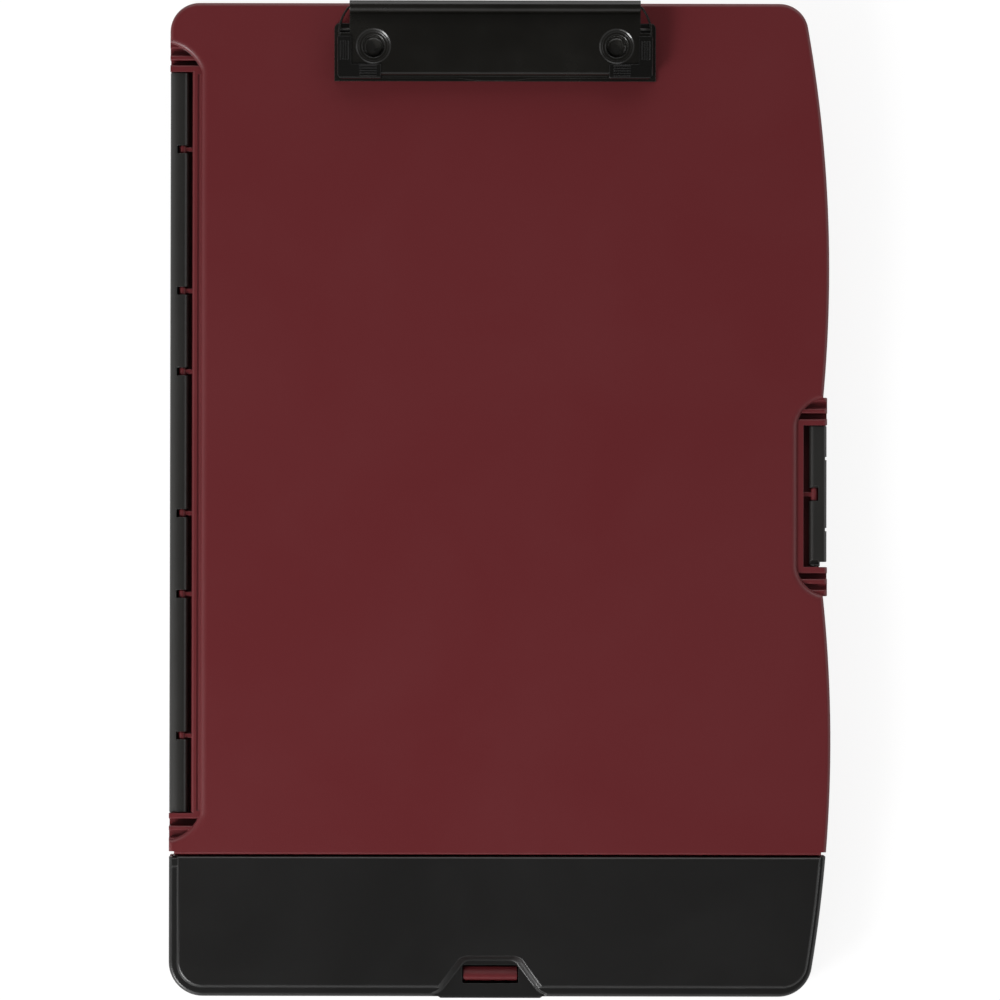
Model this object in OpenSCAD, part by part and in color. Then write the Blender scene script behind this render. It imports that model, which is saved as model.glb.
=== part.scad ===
// Storage clipboard box: a hinged two-shell paper case that carries a writing board and a low clip,
// with a lidded pen compartment along its front end. It lies on its back, clip up, units are mm.
// X runs from the hinge to the latch, Y runs from the pen end to the clip end, Z is up.

/* [Case] */
// Overall width of the case
case_w = 262; // [250:1:280]
// Overall length of the case without the clip's roll and the lid's lip
case_l = 393.5; // [385:0.5:410]
// Overall thickness of the closed case
case_h = 25; // [22:0.5:32]
// Corner radius at the clip end
corner_top_r = 11.5; // [8:0.5:16]
// Corner radius at the pen end
corner_low_r = 13.5; // [8:0.5:18]
// Radius of the two shallow bulges of the latch side
bulge_r = 550; // [500:10:800]
// Radius of the hollow waist between the bulges
waist_r = 60; // [40:5:90]
// How far the upper bulge stays back from the full width
bulge_up_back = 0.7; // [0:0.1:2]
// Height of the upper bulge's widest point above the middle of the case
bulge_up_y = 91; // [85:1:97]
// Height of the lower bulge's widest point above the middle of the case
bulge_low_y = -96; // [-102:1:-90]
// Wall thickness of the shells
wall = 2.2; // [1.8:0.1:2.6]
// Skin thickness of the top and bottom panels
skin = 2; // [1.6:0.1:2.4]
// Gap between the two shells
seam_gap = 0.2; // [0.1:0.05:0.4]
// Length of the pen end that the lid covers, up to the seam
pen_l = 56.2; // [50:0.2:65]
// Gap between cover and lid
lid_gap = 0.65; // [0.5:0.05:1]
// Rounding of the cover's edge along the lid
seam_edge_r = 0.9; // [0.4:0.1:1.2]
// Rounding of the lid's edge along the cover
lid_edge_r = 1.4; // [0.6:0.1:1.8]

/* [Raised panel] */
// How far the rim around the panel lies below it
ledge_drop = 1.6; // [0.8:0.1:2]
// Width of the rim on the hinge side
ledge_left = 3.2; // [2:0.1:5]
// Width of the rim on the latch side
ledge_right = 1.8; // [1.6:0.1:4]
// Width of the rim at the clip end
ledge_top = 3.9; // [2:0.1:5]
// Width of the rim at the pen end
ledge_low = 3.4; // [2:0.1:5]
// Rounding of the panel's edge
panel_r = 1.4; // [0.8:0.1:1.5]
// Rounding of the case's outer edge
rim_r = 1.6; // [1:0.1:1.7]

/* [Hinge spine] */
// Width of the spine
spine_w = 8.8; // [8:0.2:10]
// Distance from the seam to the spine's lower end
spine_low = 16.5; // [15:0.1:22]
// Distance from the clip end to the spine's upper end
spine_high = 27.6; // [26:0.1:36]
// Width of the rim between the spine and the panel
spine_rim = 3.8; // [3:0.1:5]
// Distance of both hinge axes from the case's outer side
hinge_in = 5; // [4.8:0.1:5.2]
// Distance of both hinge axes from the seam
hinge_up = 7.6; // [7:0.1:8]
// Radius of the spine's two barrels
barrel_r = 2.4; // [2.3:0.1:2.6]
// Thickness of the spine's outer strip
strip_t = 2.2; // [1.8:0.1:2.4]
// Radius of every moulded hinge pin
pin_r = 1.15; // [1:0.05:1.2]
// Radial clearance of a moulded pin in its socket
pin_play = 0.05; // [0.02:0.01:0.1]
// Width of a finger notch
notch_w = 3.2; // [3:0.1:4]
// Distance of the innermost fingers from the spine's middle
finger_a = 28.1; // [24:0.5:34]
// Distance of the middle fingers from the spine's middle
finger_b = 60.1; // [50:0.5:70]
// Distance of the outermost fingers from the spine's middle
finger_c = 116.2; // [100:0.5:125]

/* [Latch] */
// Upper end of the latch
latch_y1 = 29.3; // [25:0.1:29.4]
// Lower end of the latch
latch_y0 = -24.3; // [-24.4:0.1:-20]
// Distance of the latch's axis from the case's greatest half width
latch_in = 6.4; // [6:0.1:7]
// Height of the latch's axis above the seam
latch_up = 7.9; // [7:0.1:8]
// Radius of the latch's barrel
latch_r = 2.2; // [2.1:0.1:2.4]
// Thickness of the latch's plate
latch_t = 2; // [1.8:0.1:2.2]
// How far the rib blocks stay back from the greatest half width
block_in = 1.4; // [0.6:0.1:2]
// Width of the rim between the latch and the panel
latch_rim = 2.9; // [2:0.1:4]
// Clearance between the latch's hook and the catch bar
hook_gap = 0.3; // [0.2:0.1:0.6]

/* [Pen lid] */
// Distance of the lid's hinge axis behind the lid's rear edge and below its top
lid_axis = 2.6; // [2.6:0.1:3]
// Middle of the finger recess, across the case
tab_x = -3.6; // [-20:0.2:20]
// Depth of the finger recess
tab_depth = 3; // [2:0.2:4]
// How far the lip stands out from the case
lip_out = 0.7; // [0.4:0.1:1.5]
// Half width of the lip
lip_half = 20.8; // [18:0.2:24]
// Length of the slot for the snap tongue
slot_w = 22.2; // [18:0.2:24]
// Width of the slot for the snap tongue
slot_l = 7.2; // [6:0.2:8]

/* [Clip] */
// Middle of the clip, across the case
clip_x = -2.3; // [-10:0.1:10]
// Width of the clip's base plate
base_w = 127.3; // [120:0.1:135]
// Length of the base plate along the case
base_l = 23; // [21:0.5:28]
// Distance of the base plate's rear edge from the clip end
base_back = 8.1; // [7:0.1:10]
// Thickness of the clip's sheet steel
sheet = 1; // [0.8:0.1:1.1]
// How much further in the rolled edge ends than the jaw's lip, on each side
roll_in = 4.2; // [3.6:0.1:6]
// Width of the jaw along its lip
jaw_w = 123.4; // [118:0.2:125]
// Outer radius of the rolled edge
roll_r = 2.4; // [2:0.1:2.6]
// How far the roll stands out past the case
roll_out = 0.4; // [0:0.1:1]
// Distance of the rod from the clip end
rod_back = 11.4; // [11:0.1:12]
// Height of the rod above the board
rod_up = 4.6; // [4.4:0.1:4.8]
// Radius of the rod
rod_r = 1.2; // [1:0.05:1.2]
// Distance of each rivet from the jaw's side
rivet_in = 13.6; // [13:0.1:20]
// Distance of the rivets from the clip end
rivet_back = 17.6; // [17:0.1:19]
// Curls of the spring
spring_curls = 6; // [4:1:8]
// Radius of the spring's wire
wire_r = 0.45; // [0.4:0.01:0.5]
// Pitch of the spring
spring_pitch = 1.5; // [1.4:0.05:1.8]

/* [Hidden] */
$fn = 48;
cut = 1;
hair = 0.02;
half_h = (case_h - seam_gap) / 2;
side_x = case_w / 2;
end_shift = (lip_out - roll_out) / 2;
case_y1 = case_l / 2 + end_shift;
case_y0 = -case_l / 2 + end_shift;
ledge_z = half_h - ledge_drop;
cover_z = half_h + seam_gap;
corner_steps = 6;
bulge_steps = 6;
waist_steps = 3;
round_steps = 3;

seam_y = case_y0 + pen_l;
end_gap = 0.3;
spine_y0 = seam_y + spine_low;
spine_y1 = case_y1 - spine_high;
spine_seat = [spine_y0 - end_gap, spine_y1 + end_gap];
hinge_x = -side_x + hinge_in;
spine_x1 = -side_x + spine_w;
spine_mid = (spine_y0 + spine_y1) / 2;
axis_up = hinge_up + seam_gap / 2;
swing_gap = 0.2;
relief_r = hinge_up - swing_gap;
sill_x = -side_x + strip_t + 0.4;
sill_h = 3;
fingers = [for (d = [finger_a, finger_b, finger_c]) each [spine_mid - d, spine_mid + d]];
finger_gap = 0.25;
finger_head_l = notch_w - 2 * finger_gap;
finger_neck_l = 1.8;
finger_t = 1.8;
pin_reach = 2.4;
head_r = pin_r + 0.3;

latch_x = side_x - latch_in;
latch_seat = [latch_y0 - 2, latch_y1 + 0.5];
latch_floor = 5;
latch_room = 2.2;
latch_wall_x = latch_x - latch_r - latch_room;
latch_notch = [-0.1, 5.1];
block_x = side_x - block_in;
block_root_x = latch_x - 8.6;
latch_face_x = block_x - 0.2;
bar_x = latch_face_x - latch_t - hook_gap - 0.5;
bar_root_x = latch_wall_x - wall;
bar_z0 = 3.1;
bar_z1 = 7;
bar_y0 = latch_y0 + 5.3;
bar_y1 = latch_y1 - 5.3;
end_pin = 1.7;

// Grip zones beside the spine and the latch: depth inward from the side, and bow of the panel's edge.
// Each rib is a pair of distances from the end of the seat beside it
left_depth = spine_w + spine_rim;
left_bow = 2.3;
left_ribs_up = [[0, 2.6], [4.5, 6.5], [9.1, 11.3]];
left_ribs_low = [[0, 2.2], [5, 6.8], [9.7, 10.9]];
right_depth = side_x - latch_wall_x + latch_rim;
right_bow = 3.6;
right_ribs_up = [[0, 2.5], [4.8, 6.7], [9.4, 11]];
right_ribs_low = [[0, 2.5], [4.7, 6.8], [9, 11.6]];
rib_floor = 4.4;
grip_steps = 5;
rib_wall = 1.6;

lid_y1 = seam_y - lid_gap;
lid_hinge_y = lid_y1 - lid_axis;
lid_hinge_z = half_h - lid_axis;
bead_r = lid_axis - 0.1;
part_t = 1.8;
part_top = lid_hinge_z - 3;
part_gap = 0.6;
root = 0.4;
post_w = 6;
post_reach = 3;
post_gap = 0.3;
posts = [-105, -35, 35, 105];
recess_z = half_h - tab_depth;
slot_in = 12.4;
slot_y1 = case_y0 + slot_in;
tongue_gap = 0.7;
tongue_t = 1.8;
tongue_l = slot_l - 2 * tongue_gap - 0.3;
tongue_z = recess_z - 0.4;
nick_left = 2.1;
nick_right = 3.7;
nick_l = 1.1;

board_z = case_h;
base_top = board_z + sheet;
base_y1 = case_y1 - base_back;
base_y0 = base_y1 - base_l;
rod_y = case_y1 - rod_back;
rod_z = board_z + rod_up;
roll_w = jaw_w - 2 * roll_in;
roll_y = case_y1 + roll_out - roll_r;
roll_z = board_z + 9.2;
grip_gap = 0.05;
grip_y1 = rod_y - 2.3;
lug_x = jaw_w / 2 - 7.5;
ear_r = 16.2;
ear_t = 0.8;
rivet_half = jaw_w / 2 - rivet_in;
rivet_y = case_y1 - rivet_back;
rivet_hole_r = 2.05;
rivet_r = 3.6;
hole_r = 5.3;
wound_r = rod_r + 0.25 + wire_r;
washer_t = 0.8;
washer_r = 5;
rivet_foot_t = 1;

// Outline of the case as numbers: left side, widest points, ends, corner radii and bulge radius
case_set = [-side_x, side_x - bulge_up_back, side_x, case_y1, case_y0, corner_top_r, corner_low_r, bulge_r];

// The same outline stepped inward by its own amount on each side
function stepped(left, right, top, low) = [
    case_set[0] + left,
    case_set[1] - right,
    case_set[2] - right,
    case_set[3] - top,
    case_set[4] + low,
    case_set[5] - min(left, top),
    case_set[6] - min(left, low),
    case_set[7] - right
];

panel_set = stepped(ledge_left, ledge_right, ledge_top, ledge_low);
paper_set = stepped(spine_w + wall, wall, wall, wall);
pen_set = stepped(wall, wall, wall, wall);

// Points of an arc about c, the first one left out when skip is 1
function arc(c, r, a, b, steps, skip = 0) =
    [for (i = [skip:steps]) let (t = a + (b - a) * i / steps) [c.x + r * cos(t), c.y + r * sin(t)]];

// Centre of a corner of radius r that touches the end line y_end and the bulge about c
function bulge_corner(c, big, y_c, r) = [c.x + sqrt(pow(big - r, 2) - pow(y_c - c.y, 2)), y_c];

function angle_to(c, p) = atan2(p.y - c.y, p.x - c.x);

// Centre of the hollow arc that joins the two bulges in the waist behind the latch
function waist(up, low, r) =
    let (mid = (up + low) / 2)
    let (along = (up - low) / norm(up - low))
    mid + [along.y, -along.x] * sqrt(pow(r + waist_r, 2) - pow(norm(up - low) / 2, 2));

// Closed outline of the set s, stepped inward by d, anticlockwise from the lower end of the hinge side,
// from where every other point can be seen, so that its end faces divide cleanly
function outline(s, d) =
    let (big = s[7])
    let (up = [s[1] - big, bulge_up_y])
    let (low = [s[2] - big, bulge_low_y])
    let (c_tr = bulge_corner(up, big, s[3] - s[5], s[5]))
    let (c_br = bulge_corner(low, big, s[4] + s[6], s[6]))
    let (a_tr = angle_to(up, c_tr))
    let (a_br = angle_to(low, c_br))
    let (w = waist(up, low, case_set[7]))
    concat(
        arc([s[0] + s[6], s[4] + s[6]], s[6] - d, 180, 270, corner_steps),
        arc(c_br, s[6] - d, -90, a_br, corner_steps),
        arc(low, big - d, a_br, angle_to(low, w), bulge_steps, 1),
        arc(w, waist_r + d + case_set[7] - big, 180 + angle_to(low, w), 180 + angle_to(up, w),
            waist_steps, 1),
        arc(up, big - d, angle_to(up, w), a_tr, bulge_steps, 1),
        arc(c_tr, s[5] - d, a_tr, 90, corner_steps, 1),
        arc([s[0] + s[5], s[3] - s[5]], s[5] - d, 90, 180, corner_steps)
    );

// Levels of a rounded edge of radius r that ends at height z: pairs of height and inward step
function rounded(z, r) =
    [for (i = [0:round_steps]) let (t = 90 * i / round_steps) [z - r + r * sin(t), r * (1 - cos(t))]];

// Side faces between ring k and the next one of n points each, as pairs of triangles
function side_faces(n, k) =
    [for (i = [0:n - 1]) each [
        [k * n + i, (k + 1) * n + i, (k + 1) * n + (i + 1) % n],
        [k * n + i, (k + 1) * n + (i + 1) % n, k * n + (i + 1) % n]]];

// Solid through rings of equal point count, from the lowest ring to the highest
module skin_rings(rings) {
    n = len(rings[0]);
    m = len(rings);
    polyhedron(
        points = [for (ring = rings) each ring],
        faces = concat(
            [[for (i = [0:n - 1]) i]],
            [for (k = [0:m - 2]) each side_faces(n, k)],
            [[for (i = [n - 1:-1:0]) (m - 1) * n + i]]
        )
    );
}

// Solid of the outline set s over levels of height and inward step
module stepped_body(s, levels) {
    skin_rings([for (v = levels) [for (p = outline(s, v[1])) [p.x, p.y, v[0]]]]);
}

// Box between two corners
module span(a, b) {
    translate(a)
        cube(b - a);
}

// Cylinder along Y from y0 to y1
module rod_along_y(x, z, r, y0, y1) {
    translate([x, y1, z])
        rotate([90, 0, 0])
            cylinder(r = r, h = y1 - y0);
}

// Cylinder along X from x0 to x1
module rod_along_x(y, z, r, x0, x1) {
    translate([x0, y, z])
        rotate([0, 90, 0])
            cylinder(r = r, h = x1 - x0);
}

// Profile drawn in X and Z, drawn out along Y from y0 to y1
module profile_along_y(y0, y1) {
    translate([0, y1, 0])
        rotate([90, 0, 0])
            linear_extrude(y1 - y0)
                children();
}

// Profile drawn in Y and Z, drawn out along X from x0 to x1
module profile_along_x(x0, x1) {
    translate([x0, 0, 0])
        rotate([90, 0, 90])
            linear_extrude(x1 - x0)
                children();
}

// Arc from p to q that bows out to the left of the way by sag
function bow(p, q, sag) =
    let (way = (q - p) / norm(q - p))
    let (r = (pow(norm(q - p) / 2, 2) + sag * sag) / 2 / sag)
    let (c = (p + q) / 2 - [-way.y, way.x] * (r - sag))
    arc(c, r, angle_to(c, p), angle_to(c, q), grip_steps);

// Plan of a grip zone around a seat, as depth inward against the place along the case
function zone_plan(seat, depth, up, low, sag) = concat(
    [[-cut, seat[1] + up]],
    bow([0, seat[1] + up], [depth, seat[1]], sag),
    bow([depth, seat[0]], [0, seat[0] - low], sag),
    [[-cut, seat[0] - low]]
);

// Spaces between neighbouring ribs, as lower and upper end along the case
function spaces(seat, ribs_up, ribs_low) = [for (i = [0:len(ribs_up) - 2]) each [
    [seat[1] + ribs_up[i][1], seat[1] + ribs_up[i + 1][0]],
    [seat[0] - ribs_low[i + 1][0], seat[0] - ribs_low[i][1]]]];

// Grip zone on the hinge side: the panel is lowered to the rim, and pockets between the ribs go down further
module grip_zone(seat, depth, ribs_up, ribs_low, sag) {
    reach = len(ribs_up) - 1;
    plan = zone_plan(seat, depth, ribs_up[reach][1], ribs_low[reach][1], sag);
    translate([-side_x, 0, ledge_z])
        linear_extrude(half_h)
            polygon(plan);
    intersection() {
        translate([-side_x, 0, rib_floor])
            linear_extrude(half_h)
                polygon(plan);
        for (v = spaces(seat, ribs_up, ribs_low))
            span([-side_x - 2 * cut, v[0], 0], [0, v[1], 2 * half_h]);
    }
}

// Both grip zones, the one beside the latch made as its mirror image
module grip_zones() {
    grip_zone(spine_seat, left_depth, left_ribs_up, left_ribs_low, left_bow);
    mirror([1, 0, 0])
        grip_zone(latch_seat, right_depth, right_ribs_up, right_ribs_low, right_bow);
}

// Block that carries the ribs next to the latch, its outer edge rounded
module rib_block(y0, y1) {
    profile_along_y(y0, y1) {
        translate([block_root_x, -cut])
            square([block_x - block_root_x - rim_r, ledge_z + cut]);
        translate([block_root_x, -cut])
            square([block_x - block_root_x, ledge_z - rim_r + cut]);
        translate([block_x - rim_r, ledge_z - rim_r])
            circle(rim_r);
    }
}

// Outer form of half a case, open side down, seam at zero height
module half_form() {
    difference() {
        union() {
            stepped_body(case_set, concat([[-cut, 0]], rounded(ledge_z, rim_r)));
            stepped_body(panel_set, concat([[ledge_z - 2 * cut, 0]], rounded(half_h, panel_r)));
            rib_block(latch_seat[1], latch_seat[1] + right_ribs_up[2][1]);
            rib_block(latch_seat[0] - right_ribs_low[2][1], latch_seat[0]);
        }
        span([-side_x - cut, spine_seat[0], -cut], [spine_x1, spine_seat[1], half_h + cut]);
        grip_zones();
        hinge_relief();
        span([-side_x - cut, case_y0 - cut, -2 * cut], [side_x + cut, case_y1 + cut, 0]);
    }
}

// Rounds the inner lower edge of the end blocks, so that they swing clear of the other shell
module hinge_relief() {
    difference() {
        span([-side_x - cut, seam_y - lid_gap / 2, -cut], [hinge_x, case_y1 + cut, hinge_up]);
        rod_along_y(hinge_x, hinge_up, relief_r, seam_y - cut, case_y1 + 2 * cut);
    }
}

// Levels of a hollow under the skin, its upper edge sloped to leave room for the rim
hollow_slope = 2.6;
hollow_levels = [[-cut, 0], [half_h - skin - hollow_slope, 0], [half_h - skin, hollow_slope]];

// Hollow of the paper compartment in one shell, from y0 to the clip end, less the blocks that carry the ribs
module paper_hollow(y0) {
    left = -side_x + left_depth + rib_wall;
    right = side_x - right_depth - rib_wall;
    reach = right_ribs_low[2][1] + root + rib_wall;
    difference() {
        intersection() {
            stepped_body(paper_set, hollow_levels);
            span([-side_x, y0, -2 * cut], [side_x, case_y1, half_h]);
        }
        span([right, latch_seat[0] - reach, -3 * cut], [side_x, latch_seat[1] + reach, half_h + cut]);
        span([-side_x, spine_seat[1] - rib_wall, -3 * cut], [left, case_y1, half_h + cut]);
        span([-side_x, seam_y, -3 * cut], [left, spine_seat[0] + rib_wall, half_h + cut]);
    }
}

// Finger with a cross pin, reaching from the wall at x0 to the pin's axis
module finger(x0, x, z, y, head_l) {
    rod_along_y(x, z, pin_r, y - head_l / 2 - pin_reach, y + head_l / 2 + pin_reach);
    rod_along_y(x, z, head_r, y - head_l / 2, y + head_l / 2);
    span([min(x0, x), y - finger_neck_l / 2, z - finger_t / 2],
        [max(x0, x), y + finger_neck_l / 2, z + finger_t / 2]);
}

module hinge_fingers() {
    for (y = fingers)
        finger(spine_x1 + cut, hinge_x, hinge_up, y, finger_head_l);
}

// Small openings through the rim at both ends of the seam between cover and lid
module seam_notches(y0) {
    span([-side_x - cut, y0, -cut], [-side_x + nick_left, seam_y + nick_l, half_h + cut]);
    span([side_x - nick_right, y0, -cut], [side_x + cut, seam_y + nick_l, half_h + cut]);
}

// Everything on the clip side of a rounded top edge that faces the lid
module behind_seam(edge_r) {
    profile_along_x(-side_x - cut, side_x + cut) {
        translate([seam_y, -cut])
            square([case_l, half_h + cut - edge_r]);
        translate([seam_y + edge_r, 0])
            square([case_l, half_h]);
        translate([seam_y + edge_r, half_h - edge_r])
            circle(edge_r);
    }
}

module cover() {
    color([0.37, 0.15, 0.16])
        translate([0, 0, cover_z]) {
            difference() {
                union() {
                    intersection() {
                        half_form();
                        behind_seam(seam_edge_r);
                    }
                    hinge_fingers();
                }
                paper_hollow(seam_y + wall);
                seam_notches(seam_y - cut);
                latch_hollow();
                for (s = [-1, 1])
                    translate([clip_x + s * rivet_half, rivet_y, 0])
                        cylinder(r = rivet_hole_r, h = half_h + cut);
            }
            finger(latch_wall_x - cut, latch_x, latch_up, (latch_notch[0] + latch_notch[1]) / 2,
                latch_notch[1] - latch_notch[0] - 2 * finger_gap);
        }
}

// Seat of the latch in the cover's edge, and the bores for the latch's end pins
module latch_hollow() {
    span([latch_wall_x, latch_seat[0], latch_floor], [side_x + cut, latch_seat[1], half_h + cut]);
    for (y = latch_seat)
        rod_along_y(latch_x, latch_up, pin_r + pin_play, y - end_pin - swing_gap, y + end_pin + swing_gap);
}

module tray() {
    color([0.37, 0.15, 0.16]) {
        translate([0, 0, half_h])
            mirror([0, 0, 1])
                difference() {
                    union() {
                        half_form();
                        hinge_fingers();
                        spine_sill();
                        catch_bar();
                    }
                    paper_hollow(lid_hinge_y + part_t / 2);
                    intersection() {
                        stepped_body(pen_set, hollow_levels);
                        span([-side_x, case_y0, -2 * cut], [side_x, lid_hinge_y - part_t / 2, half_h]);
                    }
                    seam_notches(lid_y1);
                }
        partition();
        snap_tongue();
    }
}

// Sill on the tray's side wall, under the spine's upper barrel, that closes the view past the spine
module spine_sill() {
    span([hinge_x, spine_seat[0] - root, 0], [spine_x1 + cut, spine_seat[1] + root, sill_h]);
    span([sill_x, spine_seat[0] + end_gap, 0], [hinge_x + root, spine_seat[1] - end_gap, sill_h]);
}

// Bar on the tray's waist, behind the latch's hook
module catch_bar() {
    span([bar_root_x, bar_y0, half_h - bar_z1 - cut], [bar_x, bar_y1, half_h - bar_z0]);
}

// Wall between the paper and the pen compartment, and the four posts that carry the lid's pins.
// Above the seam the wall is shorter, to clear the lid's side walls
module partition() {
    y0 = lid_hinge_y - part_t / 2;
    y1 = lid_hinge_y + part_t / 2;
    z = cover_z + lid_hinge_z;
    right = side_x - 2 * wall;
    span([-side_x + wall - root, y0, skin - root], [right, y1, half_h]);
    span([-side_x + wall + part_gap, y0, skin], [right - 2 * part_gap, y1, cover_z + part_top]);
    for (x = posts) {
        span([x - post_w / 2, y0, skin], [x + post_w / 2, y1, z]);
        rod_along_x(lid_hinge_y, z, head_r, x - post_w / 2, x + post_w / 2);
        rod_along_x(lid_hinge_y, z, pin_r, x - post_w / 2 - post_reach, x + post_w / 2 + post_reach);
    }
}

// Snap tongue that stands up into the lid's slot, with three gussets to the front wall
module snap_tongue() {
    y1 = slot_y1 - tongue_gap;
    y0 = y1 - tongue_l;
    half = (slot_w - tongue_gap) / 2;
    top = cover_z + tongue_z;
    hook_l = 6.5;
    lead = 1.4;
    gusset = 1.8;
    profile_along_x(tab_x - half, tab_x + half)
        polygon([[y0, skin - root], [y0 + tongue_t, skin - root], [y0 + tongue_t, top - hook_l],
            [y1, top - hook_l + 1.5 * lead], [y1, top - lead], [y0 + lead / 2, top], [y0, top - lead / 2]]);
    for (x = [tab_x - half, tab_x - gusset / 2, tab_x + half - gusset])
        span([x, case_y0 + wall - root, skin - root], [x + gusset, y0 + root, half_h - 1]);
}

module hinge_spine() {
    top = axis_up + barrel_r;
    corner = 1.9;
    arm_t = barrel_r + 0.4;
    notch_z = 4.4;
    color([0.11, 0.11, 0.105])
        translate([0, 0, half_h + seam_gap / 2])
            difference() {
                profile_along_y(spine_y0, spine_y1) {
                    translate([-side_x, -top + corner])
                        square([strip_t, 2 * (top - corner)]);
                    for (s = [-1, 1]) {
                        translate([-side_x + corner, s * (top - corner)])
                            circle(corner);
                        translate([-side_x + corner, s > 0 ? top - arm_t : -top])
                            square([hinge_in - corner, arm_t]);
                        translate([hinge_x, s * axis_up])
                            circle(barrel_r);
                    }
                }
                for (s = [-1, 1], y = fingers) {
                    span([-side_x + strip_t, y - notch_w / 2, s * axis_up - notch_z],
                        [spine_x1, y + notch_w / 2, s * axis_up + notch_z]);
                    rod_along_y(hinge_x, s * axis_up, pin_r + pin_play, y - notch_w / 2 - pin_reach,
                        y + notch_w / 2 + pin_reach);
                }
            }
}

module latch() {
    top = latch_up + latch_r;
    edge = 1.5;
    foot = -cover_z + bar_z0 - 0.1;
    hook_l = 1.4;
    nick_w = 1.3;
    nick_t = 0.6;
    color([0.16, 0.16, 0.15])
        translate([0, 0, cover_z])
            difference() {
                union() {
                    profile_along_y(latch_y0, latch_y1) {
                        translate([latch_x, latch_up])
                            circle(latch_r);
                        translate([latch_x, top - latch_t])
                            square([latch_face_x - edge - latch_x, latch_t]);
                        translate([latch_face_x - latch_t, foot])
                            square([latch_t, top - edge - foot]);
                        translate([latch_face_x - edge, top - edge])
                            circle(edge);
                        translate([latch_face_x - latch_t - 0.5, foot])
                            square([latch_t, hook_l]);
                    }
                    rod_along_y(latch_x, latch_up, latch_r, latch_seat[0] + end_gap, latch_y0 + cut);
                    rod_along_y(latch_x, latch_up, pin_r, latch_seat[0] - end_pin, latch_seat[1] + end_pin);
                }
                span([latch_x - latch_r - cut, latch_notch[0], latch_up - latch_r - cut],
                    [latch_x + 1.6, latch_notch[1], top + cut]);
                rod_along_y(latch_x, latch_up, pin_r + pin_play, latch_notch[0] - pin_reach,
                    latch_notch[1] + pin_reach);
                for (y = [latch_y0 + 12.2, latch_y1 - 12.2 - nick_w])
                    span([latch_face_x - nick_t, y, foot - cut],
                        [latch_face_x + cut, y + nick_w, top + cut]);
            }
}

// Finger recess in the lid, as half widths against distances from the pen end: its upper edge and its floor
recess_edge = [[10.2, 16.2], [12.6, 15.2], [20, 5.3], [22, 3.4], [26, 2], [26, -2.4]];
recess_foot = [[8.4, 14.3], [10.4, 13.3], [17.8, 3.6], [19.6, 1.7], [22.2, 0.6], [22.2, -2.4]];

// Plan of the finger recess, grown outward by g, from its front right corner around to the left
function recess_plan(points, g) = concat(
    [for (i = [len(points) - 1:-1:0]) [tab_x + points[i].x + g, case_y0 + points[i].y + g]],
    [for (p = points) [tab_x - p.x - g, case_y0 + p.y + g]]
);

module recess_body(g, z0, z1) {
    skin_rings([
        [for (p = recess_plan(recess_foot, g)) [p.x, p.y, z0]],
        [for (p = recess_plan(recess_edge, g)) [p.x, p.y, z1]],
        [for (p = recess_plan(recess_edge, g)) [p.x, p.y, z1 + cut]]
    ]);
}

// Everything on the pen side of a rounded top edge that faces the cover
module before_seam(edge_r) {
    profile_along_x(-side_x - cut, side_x + cut) {
        translate([-case_l, -cut])
            square([case_l + lid_y1, half_h + cut - edge_r]);
        translate([-case_l, 0])
            square([case_l + lid_y1 - edge_r, half_h]);
        translate([lid_y1 - edge_r, half_h - edge_r])
            circle(edge_r);
    }
}

module pen_lid() {
    swing_r = lid_hinge_z - swing_gap;
    swing_z = lid_hinge_z - lid_axis - 1.2;
    recess_wall = 1.7;
    bead_end = 4;
    color([0.13, 0.125, 0.12])
        translate([0, 0, cover_z])
            difference() {
                union() {
                    difference() {
                        intersection() {
                            half_form();
                            before_seam(lid_edge_r);
                        }
                        difference() {
                            stepped_body(pen_set, hollow_levels);
                            recess_body(recess_wall, recess_z - skin, half_h - skin);
                        }
                    }
                    intersection() {
                        rod_along_x(lid_hinge_y, lid_hinge_z, bead_r,
                            -side_x + wall - 1, side_x - bead_end);
                        span([-side_x, lid_hinge_y - 2 * bead_r, 0], [side_x, lid_y1, half_h - skin / 4]);
                    }
                    lip();
                }
                recess_body(0, recess_z, half_h + hair);
                span([tab_x - slot_w / 2, slot_y1 - slot_l, 0], [tab_x + slot_w / 2, slot_y1, half_h]);
                for (x = posts)
                    post_room(x);
                difference() {
                    span([-side_x - cut, lid_hinge_y, -2 * cut], [side_x + cut, lid_y1 + cut, swing_z]);
                    rod_along_x(lid_hinge_y, lid_hinge_z, swing_r, -side_x - 2 * cut, side_x + 2 * cut);
                }
                span([-side_x - cut, lid_y1 - nick_l / 3, -cut],
                    [-side_x + nick_left, lid_y1 + cut, half_h + cut]);
            }
}

// Room in the lid's rear bead for a post and its cross pin
module post_room(x) {
    half = post_w / 2 + post_gap;
    span([x - half, lid_hinge_y - bead_r - root, 0],
        [x + half, lid_y1 + cut, lid_hinge_z + head_r + post_gap / 2]);
    rod_along_x(lid_hinge_y, lid_hinge_z, pin_r + pin_play, x - half - post_reach, x + half + post_reach);
}

// Lip below the finger recess, standing out a little for a fingernail
module lip() {
    slant = 1.1;
    linear_extrude(recess_z - 1)
        translate([tab_x, case_y0])
            polygon([[-lip_half, cut], [-lip_half, 0], [slant - lip_half, -lip_out],
                [lip_half - slant, -lip_out], [lip_half, 0], [lip_half, cut]]);
}

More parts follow.
